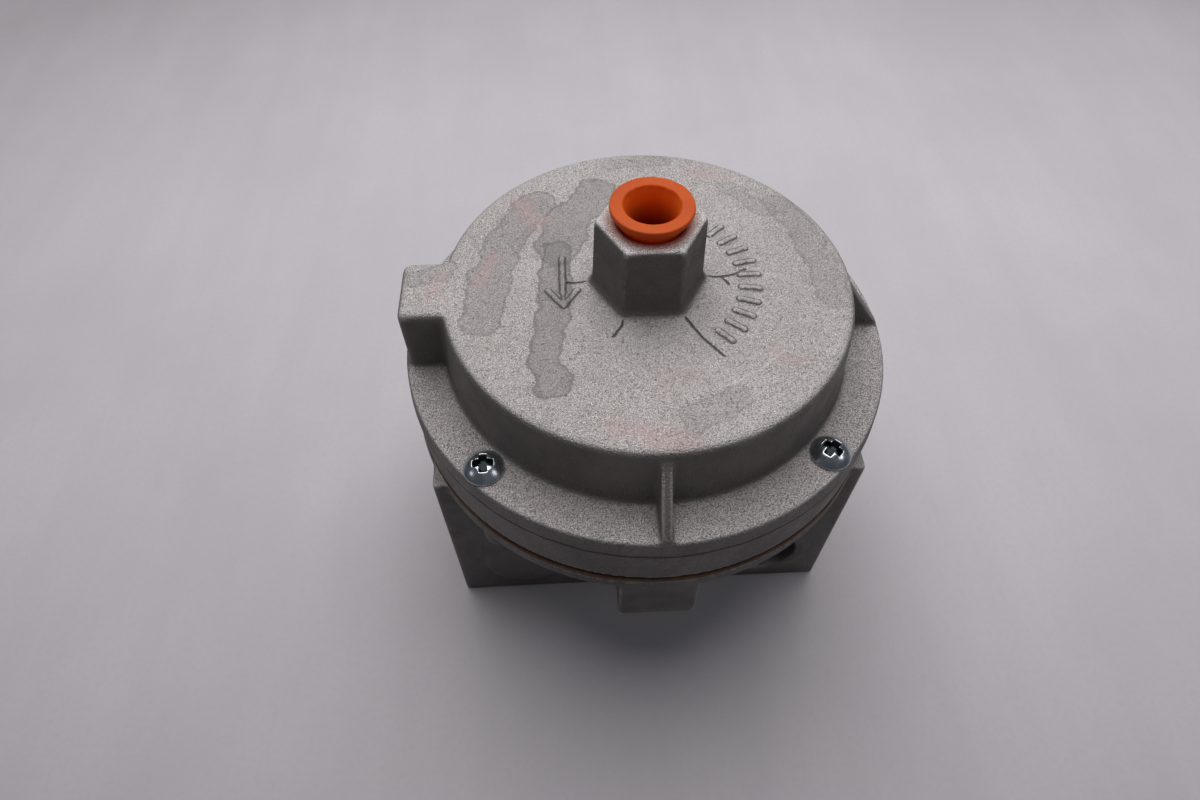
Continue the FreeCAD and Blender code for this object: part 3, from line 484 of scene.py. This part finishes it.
def cracks_and_outlines(s, tone, colour, height, top):
    """Cold-shut lines round the hexagon, darkened with painted shade; a painted shade outline round
    the raised marks; and a scratch.
    """
    thin = s.bent(1500, 0.22, 2)
    lines = s.near_strokes(thin, [flat(points, dome_top) for points in VEINS])
    crack_and_shade = both(s, s.band(lines, 0.36 * MM, 0.1 * MM), top)
    # The cracks are sunk a little in the bump, and their dark colour is painted shade.
    colour = s.mix(both(s, crack_and_shade, 0.88), colour, grey(tone * 0.16, 0.05))
    away = s.near_strokes(s.bent(900, 0.1), [flat(mark, dome_top) for mark in MARKS])
    # A dark ring of painted shade round the foot of each raised mark.
    outline = s.maths("SUBTRACT", s.band(away, 0.92 * MM, 0.76 * MM),
                      s.band(away, 0.7 * MM, 0.56 * MM))
    colour = s.mix(both(s, both(s, outline, top), 0.85), colour, grey(tone * 0.14, 0.05))
    height = s.maths("SUBTRACT", height, both(s, crack_and_shade, 1.6))
    scratch = s.band(s.near_line(s.bent(300, 0.5), flat(SCRATCH, dome_top)), 0.3 * MM, 0.08 * MM)
    scratch = both(s, both(s, scratch, top), 0.5)
    return s.mix(scratch, colour, grey(min(tone * 1.4, 0.95), 0.0)), height


def flange_details(s, tone, colour, height, level, upward, cloud, grain, fine):
    """Darker and more peppered metal on the low ledge, and the mould's parting line."""
    low_down = s.band(level, *LEDGE_BAND)
    ledge = both(s, low_down, s.band(cloud, 0.3, 0.65, 0.15, 0.4))
    colour = s.mix(ledge, colour, grey(tone * 0.4, 0.05))
    peppered = both(s, low_down, s.band(grain, 0.36, 0.56, 0.55, 0.0))
    colour = s.mix(peppered, colour, grey(tone * 0.16, 0.05))
    bright = both(s, low_down, s.band(fine, 0.5, 0.68, 0.0, 0.6))
    bright = both(s, bright, s.band(upward, *TOP_FACING))
    colour = s.mix(bright, colour, grey(min(tone * 1.75, 0.95), 0.01))
    off = s.maths("ABSOLUTE", s.maths("SUBTRACT", level, PARTING * MM))
    seam = both(s, s.band(off, 0.55 * MM, 0.12 * MM), s.band(upward, 0.4, 0.2))
    seam = both(s, seam, s.band(from_axis(s), *FLANGE_EDGE))
    colour = s.mix(both(s, seam, 0.85), colour, grey(tone * 0.1, 0.05))
    return colour, s.maths("SUBTRACT", height, both(s, seam, 1.2))


def hexagon_lip(s, tone, colour, level, upward, scuffed, fine):
    """The hexagon's bright worn top edge, and painted orange light from the plug on its top face.
    """
    lip = both(s, s.band(level, *LIP_BAND), s.band(upward, 0.35, 0.8))
    worn = both(s, s.band(scuffed, 0.0, 0.5), s.band(fine, 0.4, 0.62, 0.1, 0.9))
    colour = s.mix(both(s, lip, worn), colour, grey(0.9, 0.0))
    # Orange light bounced from the plug, painted on the hexagon's top round it.
    plug_painted_glow = both(s, s.band(from_axis(s), *PLUG_GLOW_REACH, 0.0, 0.42), lip)
    return s.mix(plug_painted_glow, colour, (tone * 1.5, tone * 0.5, tone * 0.3, 1))


def cast_metal(name, tone, marked):
    """Shot-blasted aluminium casting: fine grain, cloudy oxide, worn edges, painted shade in hollow
    corners, and walls painted darker than top faces as shade.
    """
    s = Surface(name)
    cloud = s.noise(55, 3, 0.55)
    blotch = s.noise(230, 4, 0.6)
    grain = s.noise(2800, 2, 0.7)
    fine = s.noise(5200, 1, 0.5)
    pits = s.band(s.cells(850), 0.05, 0.22)
    colour = s.mix(s.band(cloud, 0.32, 0.7), grey(tone * 0.86, 0.022), grey(tone * 1.07, 0.012))
    colour = s.mix(s.band(blotch, 0.35, 0.75, 0.0, 0.5), colour, grey(tone * 0.8, 0.03))
    colour = s.mix(s.band(grain, 0.3, 0.6, 0.0, 1.0), grey(tone * 0.46, 0.03), colour)
    colour = s.mix(s.band(fine, 0.48, 0.7, 0.0, 0.85), colour, grey(min(tone * 1.75, 0.95), 0.01))
    rust = s.band(s.noise(38, 2, 0.6, where=s.vector("ADD", s.place, (0.3, 0.1, 0.7))), 0.6, 0.78)
    colour = s.mix(both(s, rust, 0.3), colour, (tone * 1.02, tone * 0.8, tone * 0.78, 1))
    height = s.maths("ADD", both(s, grain, 0.75), both(s, fine, 0.35))
    height = s.maths("ADD", height, both(s, pits, 0.45))
    if marked:
        top = s.band(upright(s, s.place), *DOME_BAND)
        colour = water_stains(s, tone, colour, top)
        colour, height = cracks_and_outlines(s, tone, colour, height, top)
    upward = upright(s, s.add("ShaderNodeNewGeometry").outputs["Normal"])
    # Walls are painted darker than top faces as shade, more deeply on the hexagon.
    wall_painted_shade = s.mix(s.band(cloud, 0.35, 0.65), grey(tone * 0.2, 0.07), grey(tone * 0.31, 0.05))
    if marked:
        wall_painted_shade = s.vector("SCALE", wall_painted_shade, scale=s.band(from_axis(s), *HEXAGON_WALL_SHADE, 0.78, 1.14))
    colour = s.mix(s.band(upward, *TOP_FACING, 0.92, 0.0), colour, wall_painted_shade)
    if marked:
        level = upright(s, s.bent(160, 0.5, 3))
        colour, height = flange_details(s, tone, colour, height, level, upward, cloud, grain, fine)
    bend = s.add("ShaderNodeAttribute", attribute_name="bend").outputs["Fac"]
    scuffed = s.maths("ADD", bend, s.maths("MULTIPLY_ADD", grain, 0.5, -0.25))
    colour = s.mix(s.band(scuffed, 0.25, 0.8, 0.0, 0.4), colour, grey(min(tone * 1.5, 0.95), 0.0))
    # Hollow corners are darkened as painted shade.
    colour = s.mix(s.band(bend, -0.1, -0.5, 0.0, 0.45), colour, grey(tone * 0.42, 0.05))
    if marked:
        colour = hexagon_lip(s, tone, colour, level, upward, scuffed, fine)
    colour = s.vector("MULTIPLY", colour, (1.05, 1.0, 0.995))
    rough = s.band(blotch, 0.3, 0.75, 0.5, 0.68)
    return s.finish(colour, 0.4, rough, s.bump(height, 1.0, 0.42))


def fibre():
    """Pressed brown fibre sheet."""
    s = Surface("fibre")
    strands = s.noise(1400, 3, 0.7, stretch=(1, 1, 3))
    cloud = s.noise(160, 2)
    colour = s.mix(s.band(strands, 0.3, 0.7), (0.07, 0.032, 0.013, 1), (0.16, 0.078, 0.034, 1))
    colour = s.mix(s.band(cloud, 0.4, 0.7, 0.0, 0.5), colour, (0.05, 0.026, 0.014, 1))
    return s.finish(colour, 0.0, s.band(strands, 0.3, 0.7, 0.75, 0.95), s.bump(strands, 0.6, 0.15))


def rubber(name, tone):
    """Black rubber with a faint fabric grain and bloom."""
    s = Surface(name)
    threads = []
    for direction in "XY":
        wave = s.add("ShaderNodeTexWave", wave_type="BANDS", bands_direction=direction)
        wave.inputs["Scale"].default_value = 420
        s.feed(wave.inputs["Vector"], s.place)
        threads.append(wave.outputs["Fac"])
    cloth = both(s, *threads)
    bloom = s.noise(260, 4, 0.6)
    colour = s.mix(s.band(bloom, 0.4, 0.75, 0.0, 0.7), grey(tone), grey(tone * 2.6, 0.03))
    return s.finish(colour, 0.0, s.band(bloom, 0.3, 0.8, 0.45, 0.75), s.bump(cloth, 0.25, 0.06))


def plated(name, colour_low, colour_high, rough_low, rough_high, lines=0.0):
    """Plated or drawn metal with cloudy tarnish, small pits, painted shade in hollow corners and,
    if asked, turning lines.
    """
    s = Surface(name)
    cloud = s.noise(320, 4, 0.6)
    speck = s.noise(3800, 2, 0.6)
    pits = s.band(s.cells(1500), 0.02, 0.16)
    colour = s.mix(s.band(cloud, 0.3, 0.72), colour_low, colour_high)
    colour = s.mix(s.band(speck, 0.58, 0.8, 0.0, 0.4), colour, grey(0.2, 0.05))
    height = s.maths("ADD", both(s, speck, 0.5), both(s, pits, 0.6))
    if lines:
        turned = s.noise(700, 2, 0.6, stretch=(1, 1, 14))
        height = s.maths("ADD", height, both(s, turned, lines))
    bend = s.add("ShaderNodeAttribute", attribute_name="bend").outputs["Fac"]
    # Hollow corners are darkened almost to black as painted shade.
    colour = s.mix(s.band(bend, -0.2, -1.2, 0.0, 0.6), colour, grey(0.06, 0.1))
    rough = s.band(cloud, 0.25, 0.75, rough_low, rough_high)
    return s.finish(colour, 1.0, rough, s.bump(height, 0.3, 0.05))


def orange_plastic():
    """Satin moulded polyethylene, a little translucent, with painted light and shade down its bore
    and a painted glow below its rim.
    """
    s = Surface("orange_plastic")
    cloud = s.noise(190, 3, 0.5, stretch=(1, 1, 0.4))
    speck = s.noise(2600, 2, 0.6)
    colour = s.mix(s.band(cloud, 0.3, 0.7), (0.50, 0.070, 0.004, 1), (0.58, 0.094, 0.008, 1))
    colour = s.mix(s.band(speck, 0.62, 0.8, 0.0, 0.3), colour, (0.5, 0.11, 0.02, 1))
    level = upright(s, s.place)
    inner = s.band(from_axis(s), *PLUG_BORE)
    # Painted light and shade down the bore: bright near the rim, dark deeper down.
    depth = s.mix(s.band(level, *BORE_GLOW_HEIGHTS), (0.2, 0.012, 0.001, 1), (1.0, 0.2, 0.02, 1))
    colour = s.mix(inner, colour, depth)
    # Painted orange glow on the plug's outside below the rim.
    under_rim_glow = both(s, s.band(level, *UNDER_RIM_GLOW), s.maths("SUBTRACT", 1.0, inner))
    colour = s.mix(under_rim_glow, colour, (0.8, 0.1, 0.008, 1))
    rough = s.band(cloud, 0.3, 0.7, 0.42, 0.55)
    return s.finish(colour, 0.0, rough, s.bump(speck, 0.22, 0.05),
                    Subsurface_Weight=0.3, Specular_IOR_Level=0.18,
                    Subsurface_Radius=(0.004, 0.0012, 0.0005), Subsurface_Scale=1.0)


FLOOR_LIGHT_CENTRE = (0.08, 0.109, 0)  # centre of the painted pool of light on the floor, in metres
FLOOR_LIGHT_FALL_OFF = (1.3, 2.62, 0)  # how fast the painted light fades from there along x and y
DARKEST = 0.62


def floor_surface():
    """Pale matt sheet, faintly mottled and streaked, with a painted pool of light that fades away
    from one spot.
    """
    s = Surface("floor")
    cloud = s.noise(14, 4, 0.6)
    streak = s.noise(60, 4, 0.6, stretch=(1, 0.12, 1))
    grain = s.noise(700, 3, 0.6)
    colour = s.mix(s.band(cloud, 0.3, 0.7), (0.555, 0.528, 0.56, 1), (0.595, 0.568, 0.598, 1))
    colour = s.mix(s.band(streak, 0.35, 0.7, 0.0, 0.3), colour, (0.51, 0.485, 0.515, 1))
    colour = s.mix(s.band(grain, 0.4, 0.75, 0.0, 0.25), colour, (0.48, 0.46, 0.485, 1))
    away = s.vector("MULTIPLY", s.vector("SUBTRACT", s.place, FLOOR_LIGHT_CENTRE), FLOOR_LIGHT_FALL_OFF)
    # Painted light: the floor darkens away from one spot, no further than DARKEST.
    painted_floor_light = s.maths("SUBTRACT", 1.0, s.vector("DOT_PRODUCT", away, away))
    painted_floor_light = s.maths("MAXIMUM", painted_floor_light, DARKEST)
    colour = s.vector("SCALE", colour, scale=painted_floor_light)
    return s.finish(colour, 0.0, 0.7, s.bump(grain, 0.12, 0.1))


CROWN_POWER = 2.5  # how suddenly a pan head falls away towards its edge


def screw_head(height, radius, lip):
    """Bright zinc, tarnished, with painted shade inside the cross recess."""
    s = Surface("zinc_head")
    cloud = s.noise(420, 4, 0.6)
    speck = s.noise(3800, 2, 0.6)
    colour = s.mix(s.band(cloud, 0.3, 0.7), (0.42, 0.47, 0.51, 1), (0.66, 0.71, 0.75, 1))
    out = from_axis(s)
    share = s.maths("POWER", s.maths("DIVIDE", out, radius * MM), CROWN_POWER)
    crown = s.maths("MULTIPLY_ADD", share, -(height - lip) * MM, height * MM)
    sunk = s.maths("SUBTRACT", crown, upright(s, s.place))
    # Painted shade darkens the cross recess, which is also made rougher.
    inside = both(s, s.band(sunk, 0.12 * MM, 0.4 * MM), s.band(out, 3.0 * MM, 2.8 * MM))
    colour = s.mix(inside, colour, (0.03, 0.037, 0.037, 1))
    rough = s.maths("ADD", s.band(cloud, 0.25, 0.75, 0.14, 0.28), both(s, inside, 0.3))
    return s.finish(colour, 1.0, rough, s.bump(speck, 0.25, 0.05))


cast_cover = cast_metal("cast_cover", 0.475, marked=True)
cast_body = cast_metal("cast_lower", 0.40, marked=False)
black_rubber = rubber("black_rubber", 0.012)
seal_rubber = rubber("seal_rubber", 0.01)
brown_fibre = fibre()
zinc_steel = plated("zinc_steel", (0.50, 0.52, 0.54, 1), (0.66, 0.68, 0.70, 1), 0.3, 0.48, 0.7)
zinc_sheet = plated("zinc_sheet", (0.55, 0.56, 0.55, 1), (0.68, 0.69, 0.66, 1), 0.34, 0.52)
spring_steel = plated("spring_steel", (0.26, 0.26, 0.27, 1), (0.40, 0.40, 0.41, 1), 0.3, 0.46, 0.5)
turned_brass = plated("turned_brass", (0.62, 0.43, 0.17, 1), (0.80, 0.59, 0.27, 1), 0.24, 0.42, 0.8)
steel_wire = plated("steel_wire", (0.40, 0.40, 0.40, 1), (0.58, 0.58, 0.57, 1), 0.3, 0.45)
orange = orange_plastic()


# ---------------------------------------------------------------- castings

def slab(outline, low, high):
    """An upright solid with flat ends from an outline of (x, y) points."""
    count = len(outline)
    verts = [(x, y, low) for x, y in outline] + [(x, y, high) for x, y in outline]
    faces = [tuple(reversed(range(count))), tuple(range(count, 2 * count))]
    faces += [(index, (index + 1) % count, count + (index + 1) % count, count + index)
              for index in range(count)]
    return verts, faces


CAPSULE_STEPS = 8


def capsule(start, end, half_width):
    """Outline of a stroke with round ends."""
    start, end = Vector(start), Vector(end)
    heading = math.atan2(end.y - start.y, end.x - start.x)
    outline = []
    for centre, first in ((end, heading - math.pi / 2), (start, heading + math.pi / 2)):
        for step in range(CAPSULE_STEPS + 1):
            angle = first + math.pi * step / CAPSULE_STEPS
            outline.append((centre.x + half_width * math.cos(angle),
                            centre.y + half_width * math.sin(angle)))
    return outline


def raised_marks():
    """A plain flow arrow beside the inlet, and short bars in an arc opposite."""
    low, high = dome_top - MARK_ROOT, dome_top + MARK_RISE
    return [slab(capsule(*mark, MARK_HALF_WIDTH), low, high) for mark in MARKS]


cover_voxel, body_voxel = ((0.4, 0.55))
cover_skin = skin_of("cover", "cover_casting", cover_voxel, raised_marks())
finish_piece(cover_skin, cast_cover, "housing", "cast_aluminium", "cover")
body_skin = skin_of("lower_body", "lower_casting", body_voxel)
finish_piece(body_skin, cast_body, "housing", "cast_body", "lower_body")


# ---------------------------------------------------------------- joint pieces

gasket_low, gasket_high = size_of("flange_gasket")
gasket_inner = 40.0
gasket_waver = 0.15  # how far the cut edge wanders
gasket_outer = gasket_high[0] - gasket_waver
ring = rounded([(gasket_inner, gasket_low[2]), (gasket_outer, gasket_low[2]),
                (gasket_outer, gasket_high[2]), (gasket_inner, gasket_high[2])], 0.2)
gasket = new_mesh_object("joint_gasket", *lathe(ring, 360, wobble=gasket_waver))
finish_piece(gasket, brown_fibre, "housing", "fibre_gasket", "flange_gasket")

disc_low, disc_high = size_of("diaphragm")
cover_bottom = cover_low[2]
shoulder, foot = 35.0, 38.0  # radii where the diaphragm's cone starts and ends
clamped, held = 38.2, 29.4  # radii of the clamped rim's inner edge, and just outside the plates
thickness = cover_bottom - gasket_high[2]
disc_edge = disc_high[0] - 0.05
rim = rounded([(clamped, disc_low[2]), (disc_edge, disc_low[2]),
               (disc_edge, cover_bottom), (clamped, cover_bottom)], 0.15)
membrane_rim = new_mesh_object("diaphragm_rim", *lathe(rim, 240))
finish_piece(membrane_rim, black_rubber, "housing", "black_rubber", "diaphragm")
centre_hole = 2.6
centre = [(centre_hole, disc_high[2] - thickness), (held, disc_high[2] - thickness),
          (held, disc_high[2]), (centre_hole, disc_high[2])]
membrane_centre = new_mesh_object("diaphragm_centre", *lathe(centre, 240))
finish_piece(membrane_centre, black_rubber, "diaphragm_stack", "black_rubber")


def membrane_sector(middle, half_angle, columns=20, rows=12):
    """One slice of the free ring of the diaphragm, between the plates' edge and the clamped rim."""
    verts, faces = [], []
    for column in range(columns + 1):
        angle = middle + half_angle * (2 * column / columns - 1)
        for row in range(rows + 1):
            radius = held + (clamped - held) * row / rows
            top = np.interp(radius, (shoulder, foot - 0.3), (disc_high[2], cover_bottom))
            under = np.interp(radius, (shoulder - 0.4, foot - 0.4),
                              (disc_high[2] - thickness, disc_low[2]))
            for height in (float(top), float(under)):
                verts.append((radius * math.cos(angle), radius * math.sin(angle), height))
    step = 2 * (rows + 1)
    for row in range(rows):
        low = 2 * row
        for column in range(columns):
            here, there = column * step + low, (column + 1) * step + low
            faces.append((here, here + 2, there + 2, there))
            faces.append((here + 1, there + 1, there + 3, here + 3))
        for start in (low, columns * step + low):
            faces.append((start, start + 1, start + 3, start + 2))
    for edge in (0, 2 * rows):
        for column in range(columns):
            here, there = column * step + edge, (column + 1) * step + edge
            faces.append((here, here + 1, there + 1, there))
    return verts, faces


SECTORS = 12
SECTOR_SHARP = 50  # degrees, above which an edge isn't shaded smooth
for number in range(SECTORS):
    middle = 2 * math.pi * number / SECTORS
    sector = new_mesh_object(f"diaphragm_roll_{number + 1}",
                             *membrane_sector(middle, math.pi / SECTORS))
    sector.data.set_sharp_from_angle(angle=math.radians(SECTOR_SHARP))
    sector.data.materials.append(black_rubber)
    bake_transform(sector)


# ---------------------------------------------------------------- screws

ROWS_PER_PITCH = 8
POINT_LENGTH, END_LENGTH, TAPER = 1.2, 0.6, 0.6  # the rod's pointed low end, and its top


def threaded_rod(radius, depth, pitch, low, high, sides=48):
    """A rod with a V thread, pointed a little at its low end."""
    rows = max(int((high - low) / pitch * ROWS_PER_PITCH), 4)
    verts, faces = [], []
    for row in range(rows + 1):
        height = low + (high - low) * row / rows
        for side in range(sides):
            share = side / sides
            saw = (height / pitch - share) % 1.0
            cut = depth * abs(2 * saw - 1)
            lead = max(0.0, POINT_LENGTH - (height - low)) * TAPER
            lead += max(0.0, END_LENGTH - (high - height)) * TAPER
            reach = max(radius - max(cut, lead), 0.3)
            angle = 2 * math.pi * share
            verts.append((reach * math.cos(angle), reach * math.sin(angle), height))
    for row in range(rows):
        for side in range(sides):
            after = (side + 1) % sides
            faces.append((row * sides + side, row * sides + after,
                          (row + 1) * sides + after, (row + 1) * sides + side))
    faces.append(tuple(reversed(range(sides))))
    faces.append(tuple(rows * sides + side for side in range(sides)))
    return verts, faces


recess_depth, recess_reach, recess_half_slot = 1.6, 2.55, 0.8


def cross_recess_cutter(top):
    """A four-armed tapered bit."""
    shells = []
    for turned in (False, True):
        verts = []
        for height, grow in ((top - recess_depth, 0.42), (top + 0.6, 1.08)):
            for along, across in ((-1, -1), (1, -1), (1, 1), (-1, 1)):
                x = along * recess_reach * grow
                y = across * recess_half_slot * (0.7 + 0.3 * grow)
                verts.append((y, x, height) if turned else (x, y, height))
        shells.append((verts, [(0, 3, 2, 1), (4, 5, 6, 7), (0, 1, 5, 4), (1, 2, 6, 5),
                               (2, 3, 7, 6), (3, 0, 4, 7)]))
    return shells


CROWN_STEPS = 24
HEAD_VOXEL = 0.1


def pan_head_mesh(radius, height):
    """A pan head about its own axis, standing on z = 0, with a cross recess."""
    outline = [(0.0, 0.0), (radius - 0.2, 0.0), (radius, 0.2), (radius, head_lip)]
    for step in range(1, CROWN_STEPS + 1):
        share = 1 - step / CROWN_STEPS
        crown = (height - head_lip) * (1 - share ** CROWN_POWER)
        outline.append((radius * share, head_lip + crown))
    outline = [(max(r, 0.02), z) for r, z in outline]
    head = new_mesh_object("head", *lathe(outline, 96))
    for number, shell in enumerate(cross_recess_cutter(height)):
        subtract(head, new_mesh_object(f"bit_{number}", *shell, smooth=False))
    remesh(head, HEAD_VOXEL, SKIN_PASSES)
    mark_edges(head, 1)
    mesh = head.data
    bpy.data.objects.remove(head)
    return mesh


screws_low, screws_high = size_of("cover_screws")
head_radius = 3.9
screw_offset = screws_high[0] - head_radius
head_height = screws_high[2] - flange_top
head_lip = 0.45
head_zinc = screw_head(head_height, head_radius, head_lip)
head_mesh = pan_head_mesh(head_radius, head_height)
# Which side of the centre lines each screw is on, and how far its recess happens to be turned.
SCREWS = {"front_left": (-1, -1, 3), "front_right": (1, -1, 45), "back_right": (1, 1, 70),
          "back_left": (-1, 1, 20)}
shank_radius, shank_thread_depth, shank_pitch = 2.0, 0.38, 0.7
for name, (across, along, turn) in SCREWS.items():
    place = Matrix.Translation(Vector((across * screw_offset, along * screw_offset, 0)) * MM)
    spin = Matrix.Rotation(math.radians(turn), 4, "Z")
    head = bpy.data.objects.new("screw_head_" + name, head_mesh)
    bpy.context.scene.collection.objects.link(head)
    head.matrix_world = place @ Matrix.Translation((0, 0, flange_top * MM)) @ spin
    finish_piece(head, head_zinc, "housing", "zinc_screw",
                 *(["cover_screws"] if name == "front_left" else []))
    shank = new_mesh_object("screw_shank_" + name,
                            *threaded_rod(shank_radius, shank_thread_depth, shank_pitch,
                                          screws_low[2], flange_top + 0.4))
    shank.matrix_world = place @ spin
    finish_piece(shank, zinc_steel, "housing", "zinc_steel")


# ---------------------------------------------------------------- plug

plug_low, plug_high = size_of("inlet_plug")
hex_top = cover_high[2]
rim_thickness, floor_thickness = 1.3, 1.0
flare_radius = 6.7  # of the shank, where it leaves the hexagon
rim_low = plug_high[2] - rim_thickness
floor_top = plug_low[2] + floor_thickness
taper_top = hex_top - 1.2
# Up the outside from the bottom, over the rim, and down the bore.
plug_outline = [(0.02, plug_low[2]), (4.9, plug_low[2]), (5.3, plug_low[2] + 0.4),
                (5.69, taper_top), (flare_radius, hex_top + 0.6), (flare_radius, rim_low),
                (plug_high[0], rim_low + 0.15),
                (plug_high[0], plug_high[2]), (5.25, plug_high[2]), (4.85, taper_top),
                (4.3, floor_top + 0.4), (3.9, floor_top), (0.02, floor_top)]
plug = new_mesh_object("inlet_plug_cap",
                       *lathe(rounded(plug_outline, 0.32, 4), 128, wobble=0.05, seed=3))
finish_piece(plug, orange, "shipping_plug", "orange_plastic", "inlet_plug")


# ---------------------------------------------------------------- springs

POINTS_PER_TURN = 40
CLOSED_PITCH = 2.02  # rise of a closed end turn, in wire radii


def coil_points(radius, low, high, turns, wire):
    """Centre line of a compression spring with one closed turn at each end; wire is its radius."""
    points = []
    total = turns + 2
    count = total * POINTS_PER_TURN
    closed = wire * CLOSED_PITCH
    active = high - low - 2 * closed
    for index in range(count + 1):
        turn = total * index / count
        if turn < 1:
            rise = turn * closed
        elif turn > total - 1:
            rise = high - low - (total - turn) * closed
        else:
            rise = closed + active * (turn - 1) / turns
        angle = 2 * math.pi * turn
        points.append((radius * math.cos(angle), radius * math.sin(angle), low + rise))
    return points


def make_spring(name, node, turns, wire):
    """A compression coil filling a node's place."""
    low, high = size_of(node)
    radius = high[0] - wire
    points = coil_points(radius, low[2] + wire, high[2] - wire, turns, wire)
    spring = new_mesh_object(name, *tube(points, wire, 14))
    finish_piece(spring, spring_steel, "housing", "spring_steel", node)
    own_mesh(spring)


make_spring("range_spring_coil", "range_spring", 5, 1.2)
make_spring("valve_spring_coil", "valve_spring", 4, 0.3)


# ---------------------------------------------------------------- mesh screens

def woven(radius, pitch, wire):
    """Plain-woven wire cloth cut to a disc about the Z axis at height zero."""
    shells = []
    count = int(radius / pitch)
    for turned in (False, True):
        for row in range(-count, count + 1):
            offset = row * pitch
            half = math.sqrt(max(radius * radius - offset * offset, 0.0)) - wire
            if half < pitch * 0.6:
                continue
            steps = max(int(half * 2 / pitch * 4), 4)
            points = []
            for step in range(steps + 1):
                along = -half + 2 * half * step / steps
                sign = 1 if (row % 2 == 0) != turned else -1
                rise = sign * wire * math.cos(math.pi * along / pitch)
                points.append((offset, along, rise) if turned else (along, offset, rise))
            shells.append(tube(points, wire, 6))
    return joined(*shells)


SCREEN_WIRE = 0.095  # radius


def make_screen(name, node, faces_y, pitch):
    """A disc of wire cloth in a node's place, lying flat or facing along y."""
    low, high = size_of(node)
    middle = [(first + second) / 2 for first, second in zip(low, high)]
    verts, faces = woven((high[0] - low[0]) / 2, pitch, SCREEN_WIRE)
    if faces_y:
        verts = [(x, -z, y) for x, y, z in verts]
    verts = [(x + middle[0], y + middle[1], z + middle[2]) for x, y, z in verts]
    screen = new_mesh_object(name, verts, faces)
    finish_piece(screen, steel_wire, "housing", "stainless_mesh", node)


make_screen("vent_screen_mesh", "vent_screen", True, 0.75)
make_screen("inlet_screen_mesh", "inlet_screen", False, 0.5)


# ---------------------------------------------------------------- adjusting screw

rod_low, rod_high = size_of("adjusting_screw")
rod_thread_depth, rod_pitch = 0.6, 1.25
slot_half_width, slot_depth, slot_reach = 0.6, 2.0, 6
rod = new_mesh_object("adjusting_screw_rod",
                      *threaded_rod(rod_high[0], rod_thread_depth, rod_pitch,
                                    rod_low[2], rod_high[2], 64))
slot_outline = [(-slot_reach, -slot_half_width), (slot_reach, -slot_half_width),
                (slot_reach, slot_half_width), (-slot_reach, slot_half_width)]
slot = slab(slot_outline, rod_low[2] - 1, rod_low[2] + slot_depth)
subtract(rod, new_mesh_object("slot_cut", *slot, smooth=False))
rod.data.set_sharp_from_angle(angle=math.radians(35))
finish_piece(rod, zinc_steel, "adjuster", "zinc_steel", "adjusting_screw")


# ---------------------------------------------------------------- pieces kept from the design model

# Each node's material and the width in millimetres of its worn edges.
KEPT = {
    "screen_ring": (spring_steel, 0.08),
    "spring_retainer": (turned_brass, 0.08),
    "poppet": (turned_brass, 0.06),
    "poppet_seal": (seal_rubber, 0.08),
    "valve_seat": (turned_brass, 0.08),
    "seat_o_ring": (seal_rubber, 0.0),
    "upper_plate": (zinc_sheet, 0.15),
    "lower_plate": (zinc_sheet, 0.15),
    "diaphragm_screw": (zinc_steel, 0.15),
    "lock_washer": (zinc_steel, 0.1),
    "diaphragm_nut": (zinc_steel, 0.12),
    "spring_seat": (zinc_sheet, 0.15),
    "lock_nut": (zinc_steel, 0.15),
}
for node, (material, width) in KEPT.items():
    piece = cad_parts[node]
    for holder in piece.material_slots:
        holder.material = material
    if width:
        bevel = piece.modifiers.new("edges", "BEVEL")
        bevel.width = width * MM
        bevel.segments = 2
        bevel.limit_method = "ANGLE"
        bevel.angle_limit = math.radians(40)


# ---------------------------------------------------------------- floor, light, camera

floor_reach = 2500
floor_corners = [(across * floor_reach, along * floor_reach, 0)
                 for across, along in ((-1, -1), (1, -1), (1, 1), (-1, 1))]
floor = new_mesh_object("floor", floor_corners, [(0, 1, 2, 3)], smooth=False)
floor.data.materials.append(floor_surface())


LIT_POINT = (0, 0, 0.05)  # in metres, as the lights' places are
COOL, WARM = (0.95, 0.97, 1.0), (1.0, 0.985, 0.985)


def area_light(name, place, size, energy, colour):
    """A round softbox that faces the middle of the object."""
    light = bpy.data.lights.new(name, "AREA")
    light.shape = "DISK"
    light.size = size
    light.energy = energy
    light.color = colour
    holder = bpy.data.objects.new(name, light)
    holder.location = place
    heading = Vector(LIT_POINT) - Vector(place)
    holder.rotation_euler = heading.to_track_quat("-Z", "Y").to_euler()
    bpy.context.scene.collection.objects.link(holder)


area_light("key", (-0.02, 0.33, 0.95), 1.15, 10.8, WARM)
area_light("left", (-0.75, -0.15, 0.50), 0.22, 0.14, COOL)
area_light("right", (0.62, -0.20, 0.62), 0.26, 0.42, COOL)
world = bpy.data.worlds.new("studio")
bpy.context.scene.world = world
world.use_nodes = True
background = world.node_tree.nodes["Background"]
background.inputs["Color"].default_value = (0.9, 0.92, 1.0, 1.0)
background.inputs["Strength"].default_value = 0.1

camera = bpy.data.cameras.new("camera")
camera.sensor_width = 36.0
camera.lens = 23.49
camera.clip_start = 0.01
camera_place, look_down, look_aside = (-14.76, -108.88, 193.97), 53.9, -2.88
holder = bpy.data.objects.new("camera", camera)
holder.location = Vector(camera_place) * MM
holder.rotation_euler = (math.radians(90 - look_down), 0, math.radians(look_aside))
bpy.context.scene.collection.objects.link(holder)
bpy.context.scene.camera = holder
bpy.context.scene.view_settings.view_transform = "Standard"
